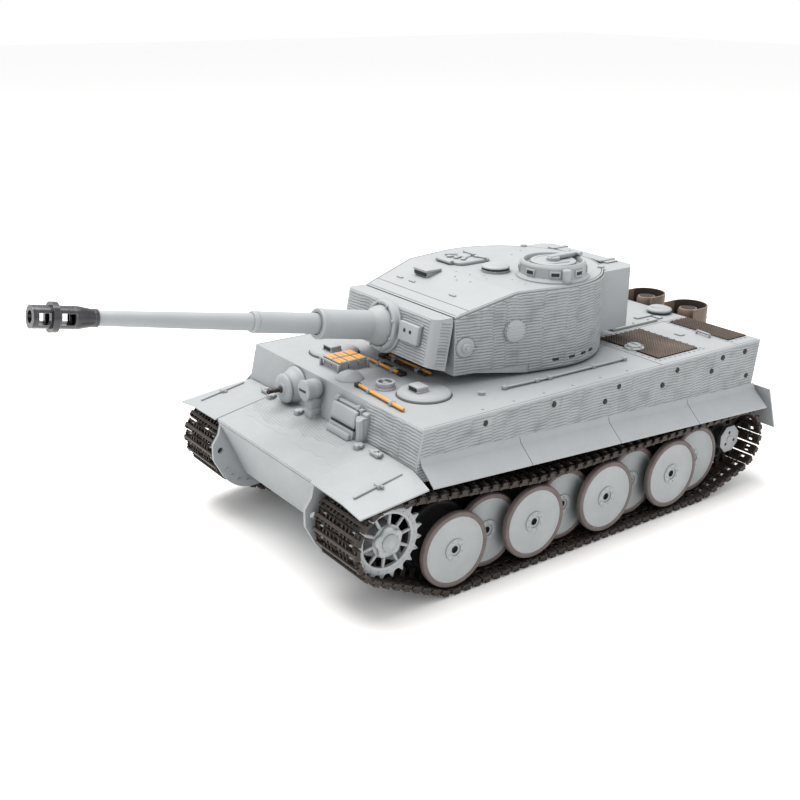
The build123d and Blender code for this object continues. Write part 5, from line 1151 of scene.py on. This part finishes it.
# ---- Front fittings --------------------------------------------------------
# The driver's visor with its armoured flap and slit, a post beside it, the gun housing, the headlamp on a
# pedestal, and small bolted brackets on the glacis: all grey plastic stuck on the front.
show_cad("front_fittings", grey_plastic)
housing = turned([(0.0, 13.4), (1.6, 13.2), (2.6, 12.4), (3.0, 11.95), (6.0, 10.72), (7.9, 9.4), (8.7, 8.6),
                  (8.0, 8.45)], MG_PLACE, axis="-Y", steps=64)
front_bits = [housing]
VISOR_X, VISOR_Z, VISOR_SINK = 26.5, 94.25, 0.4
plate_lean = Matrix.Rotation(-math.atan2(FRONT_TOP[0] - FRONT_BOTTOM[0], DECK_Z - FRONT_BOTTOM[1]), 4, "X")
visor_y = mg_y - MG_OUT - VISOR_SINK
visor_place = Matrix.Translation(tank(VISOR_X, visor_y, VISOR_Z)) @ plate_lean @ ORIGIN_SHIFT
visor_bits = [block((-14.9, -3.0, -10.1), (14.9, 0.8, 10.1), 0.5),
              block((-13.6, -6.1, -2.3), (13.6, -2.4, 8.4), 1.7, 4),
              block((-14.2, -5.2, -10.4), (12.6, -2.4, -4.4), 0.8, 3),
              block((-13.4, -7.4, -11.6), (11.4, -2.4, -6.6), 1.2, 3),
              block((-15.4, -3.6, 8.6), (15.4, 0.4, 10.4), 0.5)]
for x in (-11.5, 11.5):
    visor_bits.append(rod((x, -3.4, 9.0), (x, -3.4, 12.0), 1.3, 0.3, 16))
visor_dark = block((-13.0, -5.0, -4.3), (13.0, -2.6, -2.2), 0.05)
for piece in visor_bits + [visor_dark]:
    piece.data.transform(visor_place)
front_bits += visor_bits
post_y = FRONT_TOP[0] - 8.6
front_bits.append(block((40.8, post_y - 0.3, 80.8), (48.0, -19.0, 84.6), 0.7, 3))
front_bits.append(block((41.0, post_y + 0.9, 84.2), (47.8, -18.0, 101.0), 1.9, 3))
front_bits.append(block((41.6, post_y + 3.6, 99.0), (47.2, -17.5, 103.6), 1.2, 3))
lamp = turned([(-6.6, 0), (-6.6, 3.0), (-5.6, 5.4), (-3.6, 6.5), (3.4, 6.65), (4.0, 6.9), (5.6, 6.9), (6.05, 6.5),
               (6.15, 5.8), (6.5, 4.0), (6.7, 2.0), (6.75, 0)], (-10, -28, 104), axis="-Y", steps=56)
front_bits.append(lamp)
front_bits.append(block((-14.4, -31.4, 83.0), (-5.6, -20.5, 91.6), 1.6, 3))
front_bits.append(block((-13.4, -30.6, 90.4), (-6.6, -21.0, 98.4), 1.4, 3))
front_bits.append(block((-15.2, -30.0, 84.0), (-4.8, -20.5, 86.6), 0.8, 3))
for x in (-20, 50, -56):
    front_bits.append(block((x - 2.4, -34.6, 83.0), (x + 2.4, -28.6, 87.6), 0.8, 3))
    front_bits.append(rod((x - 3.4, -31.5, 86.6), (x + 3.4, -31.5, 86.6), 0.9, 0.2, 14))
for sign in (1, -1):
    front_bits.append(block((sign * 66 - 4.4, -32.0, 84.4), (sign * 66 + 4.4, -27.2, 87.4), 0.9, 3))
    front_bits.append(rod((sign * 66, -29.6, 86.8), (sign * 66, -29.6, 88.6), 1.7, 0.4, 16))
    front_bits.append(rod((sign * 66 - 5.8, -30.4, 86.8), (sign * 66 + 5.8, -30.4, 86.8), 1.0, 0.25, 14))
    front_bits.append(block((sign * 95 - 2.4, -50.4, 79.6), (sign * 95 + 2.4, -47.0, 82.9), 0.8, 3))
    front_bits.append(rod((sign * 95 - 3.6, -47.6, 81.3), (sign * 95 + 3.6, -47.6, 81.3), 1.0, 0.25, 14))
fix(join("front_fittings_look", front_bits, grey_plastic), "hull")
# Painted shadow: near-black strips along the post's side and base, where shade falls.
post_shadow = block((40.5, post_y + 3.2, 84.0), (41.3, -19.4, 101.4), 0.05)
lamp_slot = block((-13.8, -34.9, 103.4), (-6.2, -34.3, 105.0), 0.1)
post_base_shadow = block((40.9, post_y - 0.35, 84.5), (48.1, -21.0, 85.2), 0.05)
fix(join("front_dark_slots_and_shadows", [visor_dark, lamp_slot, post_base_shadow, post_shadow], black_gap), "hull")

# ---- Crew hatches ----------------------------------------------------------
# Two round lids with a step near the rim and a periscope guard that has a dark window.
show_cad("driver_hatch", grey_plastic)
show_cad("radio_hatch", grey_plastic)
for name, body, sign in (("driver", "driver_hatch", 1), ("radio", "radio_hatch", -1)):
    lid_top = DECK_Z + 2.2
    lid_bits = [turned([(-0.1, 15.6), (0.4, 15.2), (0.55, 14.4), (0.55, 0)], (sign * 51.5, 16.5, lid_top - 0.05),
                       axis="Z", steps=56)]
    lid_bits.append(block((sign * 49.5 - 5.6, 9.0, lid_top), (sign * 49.5 + 5.6, 18.0, lid_top + 1.6), 0.4))
    lid_bits.append(block((sign * 49.5 - 5.3, 9.3, lid_top + 1.0), (sign * 49.5 + 5.3, 17.8, lid_top + 4.4), 0.8, 3))
    lid_bits = [painted(piece, grey_plastic) for piece in lid_bits]
    lid_bits.append(painted(block((sign * 49.5 - 3.9, 8.85, lid_top + 1.2), (sign * 49.5 + 3.9, 9.6, lid_top + 3.5),
                                  0.1), black_gap))
    fix(join(name + "_hatch_look", lid_bits), body)
crew_ring = []
for sign in (1, -1):
    crew_ring.append(turned([(0.02, 17.9), (0.06, 17.6), (0.06, 17.15)], (sign * 51.5, 16.5, DECK_Z), axis="Z",
                            steps=64))
fix(join("crew_hatch_joints", crew_ring, seam_dark), "hull")

# ---- Deck fittings ---------------------------------------------------------
# A dome, filler caps, a ventilator with a mushroom cap, pegs, and a tray of six track pads with wooden
# slats, all stuck on the deck between rows of small bolt heads.
wood = finish_material("tool wood", (0.70, 0.32, 0.055), (0.62, 0.26, 0.04), 0.55, grain=500, grain_depth=0.00006,
                       edge=(0.80, 0.42, 0.11), crevice=0.45, blotch_scale=160)
show_cad("deck_fittings", grey_plastic)
deck_bits = [turned([(0, 9.4), (0.7, 9.2), (1.3, 8.6), (3.2, 6.9), (4.5, 4.4), (5.15, 2.0), (5.3, 0)],
                    (0, -5, DECK_Z), axis="Z", steps=48)]
deck_bits.append(turned([(0, 6.9), (0.8, 6.7), (1.2, 6.2), (4.0, 6.15), (4.6, 5.7), (4.7, 5.0), (4.2, 4.5),
                         (2.7, 4.4), (2.6, 2.0), (3.9, 1.7), (4.0, 0)], (28, 3.5, DECK_Z), axis="Z", steps=44))
deck_bits.append(rod((20.5, 5.6, 112.2), (26.0, 3.9, 114.0), 1.0, 0.2, 12))
deck_bits.append(turned([(0, 6.0), (1.6, 6.0), (1.8, 9.6), (2.8, 9.8), (3.6, 9.3), (4.5, 7.4), (4.95, 4.4), (5.1, 0)],
                        (8.6, 279.6, DECK_Z), axis="Z", steps=56))
for x, y in ((-33.8, -5.4), (-12.2, -5.4), (-33.8, 17.6), (-12.2, 17.6)):
    deck_bits.append(block((x - 0.9, y - 0.9, DECK_Z), (x + 0.9, y + 0.9, DECK_Z + 5.6), 0.25))
for y in (-5.6, 2.6, 10.2, 17.8):
    deck_bits.append(block((-34.2, y - 0.35, DECK_Z + 4.4), (-11.8, y + 0.35, DECK_Z + 5.9), 0.12))
for sign in (1, -1):
    deck_bits.append(turned([(0, 7.2), (1.1, 7.0), (1.5, 6.3), (1.6, 5.2), (2.6, 5.0), (3.1, 4.2), (3.15, 0)],
                            (sign * 60.7, 195.4, DECK_Z), axis="Z", steps=44))
    deck_bits.append(rod((sign * 60.7 - 3.2, 195.4, 113.0), (sign * 60.7 + 3.2, 195.4, 113.0), 0.7, 0.2, 12))
    for step in range(6):
        angle = math.radians(60 * step)
        deck_bits.append(turned([(1.2, 0.75), (2.2, 0.65), (2.25, 0)],
                                (sign * 60.7 + 6.1 * math.cos(angle), 195.4 + 6.1 * math.sin(angle), DECK_Z),
                                axis="Z", steps=8))
    deck_bits.append(block((sign * 57.5 - 3.2, 244.6, DECK_Z), (sign * 57.5 + 3.2, 249.4, DECK_Z + 0.9), 0.3))
for x in (19.0, -19.0):
    deck_bits.append(block((x - 3.0, 264.6, DECK_Z), (x + 3.0, 269.4, DECK_Z + 1.2), 0.35))
for sign in (1, -1):
    deck_bits.append(rod((sign * 69 - 6, 260.0, 112.2), (sign * 69 + 6, 258.6, 112.2), 0.8, 0.25, 12))
    for end in (-6, 6):
        deck_bits.append(rod((sign * 69 + end, 259.3, DECK_Z), (sign * 69 + end, 259.3, 112.2), 0.8, 0.2, 12))
fix(join("deck_fittings_look", deck_bits, grey_plastic), "hull")
bolts = []
bolt = painted(turned([(-0.05, 0.8), (0.45, 0.72), (0.6, 0.5), (0.62, 0)], (0, 0, DECK_Z), axis="Z", steps=8),
               grey_plastic)
bolt_places = [(sign * x, y) for sign in (1, -1) for x in (29.4, 89.6) for y in range(190, 236, 5)]
bolt_places += [(sign * x, y) for sign in (1, -1) for x in range(33, 90, 6) for y in (188.4, 234.6, 262.8)]
bolt_places += [(sign * x, y) for sign in (1, -1) for x in (29.4, 89.6) for y in (266, 271, 276, 281)]
bolt_places += [(x, y) for x in range(-24, 27, 8) for y in (187.0,)] + [(sign * 92, y) for sign in (1, -1)
                                                                     for y in range(30, 180, 25)]
for x, y in bolt_places:
    bolts.append(copied(bolt, "bolt", Matrix.Translation((x * MM, y * MM, 0))))
bpy.data.objects.remove(bolt)
fix(join("deck_bolts", bolts), "hull")
deck_lines = [ribbon([(-97, 184.0, DECK_Z + 0.06), (97, 184.0, DECK_Z + 0.06)], 0.55),
              ribbon([(-97, 263.4, DECK_Z + 0.06), (97, 263.4, DECK_Z + 0.06)], 0.3)]
for sign in (1, -1):
    deck_lines.append(ribbon([(sign * 28.0, 184.0, DECK_Z + 0.06), (sign * 28.0, 285.0, DECK_Z + 0.06)], 0.4))
    deck_lines.append(ribbon([(sign * 96.9, -18.0, DECK_Z + 0.06), (sign * 96.9, 286.6, DECK_Z + 0.06)], 0.28))
fix(join("deck_joint_lines", deck_lines, seam_dark), "hull")
slats = []
for column in range(2):
    for row in range(3):
        x, y = -32.6 + column * 10.2, -4.2 + row * 7.6
        for half in range(2):
            slats.append(block((x + 0.5, y + 0.5 + half * 3.0, DECK_Z + 6.0), (x + 8.9, y + 3.2 + half * 3.0,
                                                                            DECK_Z + 6.75), 0.25))
fix(join("pad_slats", slats, wood), "hull")

# ---- Tools -----------------------------------------------------------------
# Wooden handles with dark steel heads lie in grey clips at the front of the deck; grey rods lie in
# clips along both sides of the turret.
tool_parts = []
for start, end in (((17, -9.5), (69, -12)), ((-20, 41), (26, 41)), ((-22, 25), (12, 25))):
    tool_parts.append(painted(rod((*start, DECK_Z + 1.6), (*end, DECK_Z + 1.6), 1.15, 0.3, 16), wood))
for start, end in (((-20, 37.6), (26, 37.6)), ((-16, 28.4), (14, 28.4))):
    tool_parts.append(painted(rod((*start, DECK_Z + 1.3), (*end, DECK_Z + 1.3), 0.95, 0.2, 12), black_gun))
for low, high in (((-26, 35.6, DECK_Z), (-19.5, 42.6, DECK_Z + 2.6)), ((12, 23.4, DECK_Z), (17, 28.8, DECK_Z + 2.4)),
                  ((14.5, -11.4, DECK_Z), (18.5, -7.8, DECK_Z + 2.8))):
    tool_parts.append(painted(block(low, high, 0.6, 3), black_gun))
for x, y in ((30, -10.1), (56, -11.4), (-10, 39.4), (16, 39.4), (-10, 26.6), (6, 26.6)):
    long = 1.9 if y < 0 else 3.4
    clip = block((x - 1.4, y - long, DECK_Z), (x + 1.4, y + long, DECK_Z + 3.0), 0.4)
    tool_parts.append(painted(clip, grey_plastic))
    tool_parts.append(painted(block((x - 0.7, y - 0.9, DECK_Z + 2.8), (x + 0.7, y + 0.9, DECK_Z + 3.5), 0.25),
                              grey_plastic))
for sign in (1, -1):
    for start, end in (((73, 63), (75, 100)), ((75, 101), (76, 170))):
        steel_rod = rod((sign * start[0], start[1], DECK_Z + 1.35), (sign * end[0], end[1], DECK_Z + 1.35), 0.85,
                        0.2, 14)
        tool_parts.append(painted(steel_rod, grey_plastic))
    for x, y, reach in ((73.1, 64, 1.5), (74.5, 90, 1.4), (75.0, 100.4, 1.7), (75.6, 140, 1.4), (76.0, 169, 1.5)):
        clip = block((sign * x - reach, y - 1.7, DECK_Z), (sign * x + reach, y + 1.7, DECK_Z + 2.6), 0.45)
        tool_parts.append(painted(clip, grey_plastic))
fix(join("deck_tools_look", tool_parts), "hull", "deck_tools")

# ---- Engine deck -----------------------------------------------------------
# Woven brown mesh over the radiators, and the grey access plate with its hinge straps.
mesh_brown = finish_material("woven mesh", (0.105, 0.078, 0.060), (0.075, 0.055, 0.042), 0.5, metallic=0.3,
                             grain=1500, crevice=0.4)
# Painted shade: the gaps between the wires are darkened.
darken_hollows(mesh_brown, "relief", 0.12)


def weave(low_x, high_x, low_y, high_y):
    """A woven wire panel as one relief: the wires of one way pass over and under those of the other."""
    columns, rows = round((high_x - low_x) / 0.31), round((high_y - low_y) / 0.31)
    clear_selection()
    bpy.ops.mesh.primitive_grid_add(x_subdivisions=columns, y_subdivisions=rows, size=1, location=(0, 0, 0))
    panel = bpy.context.active_object
    marks = panel.data.attributes.new("relief", "FLOAT", "POINT")
    spacing = 1.24
    for vertex in panel.data.vertices:
        x = low_x + (vertex.co.x + 0.5) * (high_x - low_x)
        y = low_y + (vertex.co.y + 0.5) * (high_y - low_y)
        across, along = x / spacing, y / spacing
        warp = max(0.0, 1 - (abs(across - round(across)) / 0.30) ** 2)
        weft = max(0.0, 1 - (abs(along - round(along)) / 0.30) ** 2)
        over = 0.5 + 0.5 * math.cos(math.pi * along) * (1 if round(across) % 2 == 0 else -1)
        under = 0.5 + 0.5 * math.cos(math.pi * across) * (-1 if round(along) % 2 == 0 else 1)
        wire = max(warp * (0.55 + 0.45 * over), weft * (0.55 + 0.45 * under))
        # This value also sets the painted shade between the wires.
        marks.data[vertex.index].value = min(1.0, wire * 1.4)
        vertex.co = tank(x, y, DECK_Z + 0.3 + 0.75 * wire)
    return painted(panel, mesh_brown)


for name, sign in (("left", 1), ("right", -1)):
    panels = []
    for low_y, high_y in ((191.0, 232.0), (265.0, 285.5)):
        low_x, high_x = sorted((sign * 32.0, sign * 87.0))
        panels.append(weave(low_x, high_x, low_y, high_y))
        panels.append(painted(block((low_x, low_y, DECK_Z - 0.5), (high_x, high_y, DECK_Z + 0.3), 0.05), mesh_brown))
    fix(join("mesh_" + name, panels), "hull", "engine_grilles" if sign > 0 else None)
show_cad("engine_hatch", grey_plastic)
hatch_bits = [block((-24.0, 213.0, 111.4), (24.0, 216.0, 112.1), 0.25),
              rod((-6, 219, 113.4), (6, 219, 113.4), 0.8, 0.2)]
for x in (-6, 6):
    hatch_bits.append(rod((x, 219, 111.2), (x, 219, 113.4), 0.8, 0.2, 12))
for x in (-22, 22):
    for y in (220, 236, 252):
        hatch_bits.append(turned([(0, 0.9), (0.5, 0.8), (0.6, 0)], (x, y, 111.65), axis="Z", steps=8))
fix(join("engine_hatch_look", hatch_bits, grey_plastic), "engine_hatch")

# ---- Exhausts --------------------------------------------------------------
# Brown painted half-round shrouds, near-black inside, round a lighter brown stack with an open top.
# Strong painted shade in the shroud corners (crevice 0.8).
exhaust_brown = finish_material("exhaust brown", (0.16, 0.115, 0.085), (0.125, 0.09, 0.066), 0.6, grain=1100,
                                edge=(0.27, 0.21, 0.165), crevice=0.8, blotch_scale=90)
show_cad("exhausts", exhaust_brown)
# Near-black colour inside the shrouds and across the open stack tops.
exhaust_inside_dark = finish_material("exhaust inside dark", (0.018, 0.014, 0.012), (0.03, 0.022, 0.018), 0.75, crevice=0.3)
stack_tops = []
for sign in (1, -1):
    x, y = sign * 21.5, 298.3
    stack_tops.append(painted(turned([(-4, 7.75), (1.6, 7.75), (3.4, 6.9), (3.7, 5.8), (3.2, 5.2)], (x, y, 110.0),
                                     axis="Z", steps=48), exhaust_brown))
    stack_tops.append(painted(turned([(3.75, 5.6), (3.75, 0)], (x, y, 110.0), axis="Z", steps=32), exhaust_inside_dark))
    rows = []
    for step in range(29):
        angle = math.pi * step / 28
        rows.append((x + 13.6 * math.cos(angle), y + 13.6 * math.sin(angle)))
    liner = bpy.data.meshes.new("liner")
    liner.from_pydata([tuple(tank(px, py, z)) for px, py in rows for z in (67.0, 116.2)], [],
                      [(2 * i, 2 * i + 2, 2 * i + 3, 2 * i + 1) for i in range(28)])
    liner_piece = bpy.data.objects.new("liner", liner)
    bpy.context.scene.collection.objects.link(liner_piece)
    stack_tops.append(painted(liner_piece, exhaust_inside_dark))
fix(join("exhaust_stacks", stack_tops), "hull")

# ---- Rear plate ------------------------------------------------------------
# The sloped rear plate has combed paste on both sides of the exhausts, a row of bolts and two tow brackets.
rear_up = Vector((0, REAR_TOP_Y - REAR_BOTTOM_Y, DECK_Z - 77.0)).normalized()
rear_out = Vector((0, rear_up.z, -rear_up.y))


def rear_wall(u, v):
    return tank(u - HULL_HALF + 0.2, REAR_BOTTOM_Y, 77.0) + rear_up * ((v + 0.4) * MM), rear_out


def rear_bare(u, v):
    x = abs(u - HULL_HALF)
    return x < 39.0 or math.hypot(x - 52.0, v - 9.0) < 6.0


fix(paste_sheet("rear_plate_paste", 2 * HULL_HALF - 0.4, 31.4, rear_wall, 53.0, relief=0.5, bare=rear_bare), "hull")
rear_bits = []
for sign in (1, -1):
    x = sign * 52.0
    rear_bits.append(turned([(-1.5, 5.4), (1.0, 5.2), (1.8, 4.4), (2.0, 3.0), (3.4, 2.6), (3.8, 0)],
                            (x, REAR_BOTTOM_Y + 1.2, 86.0), axis="Y", steps=36))
    for z in (71.0, 104.5):
        for bolt_x in (44.0, 62.0, 76.0, 90.0):
            bolt_y = REAR_BOTTOM_Y + max(0.0, z - 77.0) / (DECK_Z - 77.0) * 4.3
            if z > 75.0 or bolt_x < 56.0:
                rear_bits.append(turned([(-0.5, 1.1), (0.9, 1.0), (1.2, 0.6), (1.2, 0)], (sign * bolt_x, bolt_y, z),
                                        axis="Y", steps=12))
    for bolt_x, z in ((12.0, 76.0), (31.0, 76.0), (12.0, 106.0), (31.0, 106.0)):
        bolt_y = 298.3 + math.sqrt(14.7 ** 2 - (bolt_x - 21.5) ** 2)
        rear_bits.append(painted(turned([(-0.8, 0.9), (0.3, 0.8), (0.4, 0)], (sign * bolt_x, bolt_y, z), axis="Y",
                                        steps=10), exhaust_brown))
fix(join("rear_plate_look", [piece if piece.data.materials else painted(piece, grey_plastic) for piece in rear_bits]),
    "hull")

# ---- Turret bin ------------------------------------------------------------
# The stowage bin is a sheet box: a lid with a turned-down edge, two strap hinges and two hasps.
bin_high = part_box("turret_bin")[1]
BIN_TOP = bin_high.z / MM
BIN_REAR = (bin_high.y - AXLE_Y) / MM
bin_bits = []
for x in (-24.0, 24.0):
    bin_bits.append(block((x - 2.2, BIN_REAR - 17.0, BIN_TOP - 0.3), (x + 2.2, BIN_REAR - 1.0, BIN_TOP + 0.7), 0.25))
    bin_bits.append(block((x - 2.0, BIN_REAR - 1.6, BIN_TOP - 12.0), (x + 2.0, BIN_REAR + 0.8, BIN_TOP - 2.0), 0.3))
    bin_bits.append(block((x - 1.2, BIN_REAR, BIN_TOP - 9.6), (x + 1.2, BIN_REAR + 1.9, BIN_TOP - 5.2), 0.4))
    bin_bits.append(rod((x - 3.2, BIN_REAR - 16.6, BIN_TOP + 0.5), (x + 3.2, BIN_REAR - 16.6, BIN_TOP + 0.5), 1.0,
                        0.2, 14))
fix(join("bin_straps", bin_bits, grey_plastic), "turret")
bin_seam = ribbon([(-34.0, BIN_REAR + 0.05, BIN_TOP - 3.4), (34.0, BIN_REAR + 0.05, BIN_TOP - 3.4)], 0.5,
                  Vector((0, 0, 1)))
fix(join("bin_lid_seam", [bin_seam], seam_dark), "turret")

# ---- Inside the hull -------------------------------------------------------
# Cast alloy gearboxes behind the sprockets, and the green circuit boards and wrapped cells.
gearbox_metal = finish_material("gearbox alloy", (0.50, 0.50, 0.52), (0.42, 0.42, 0.44), 0.42, metallic=0.7,
                                edge=(0.7, 0.7, 0.72), grain=1300, crevice=0.6)
board_green = finish_material("circuit parts", (0.02, 0.10, 0.045), (0.015, 0.07, 0.05), 0.38,
                              edge=(0.35, 0.30, 0.12), crevice=0.6, blotch_scale=260, coat=0.4)
show_cad("drive_units", gearbox_metal)
show_cad("electronics", board_green)
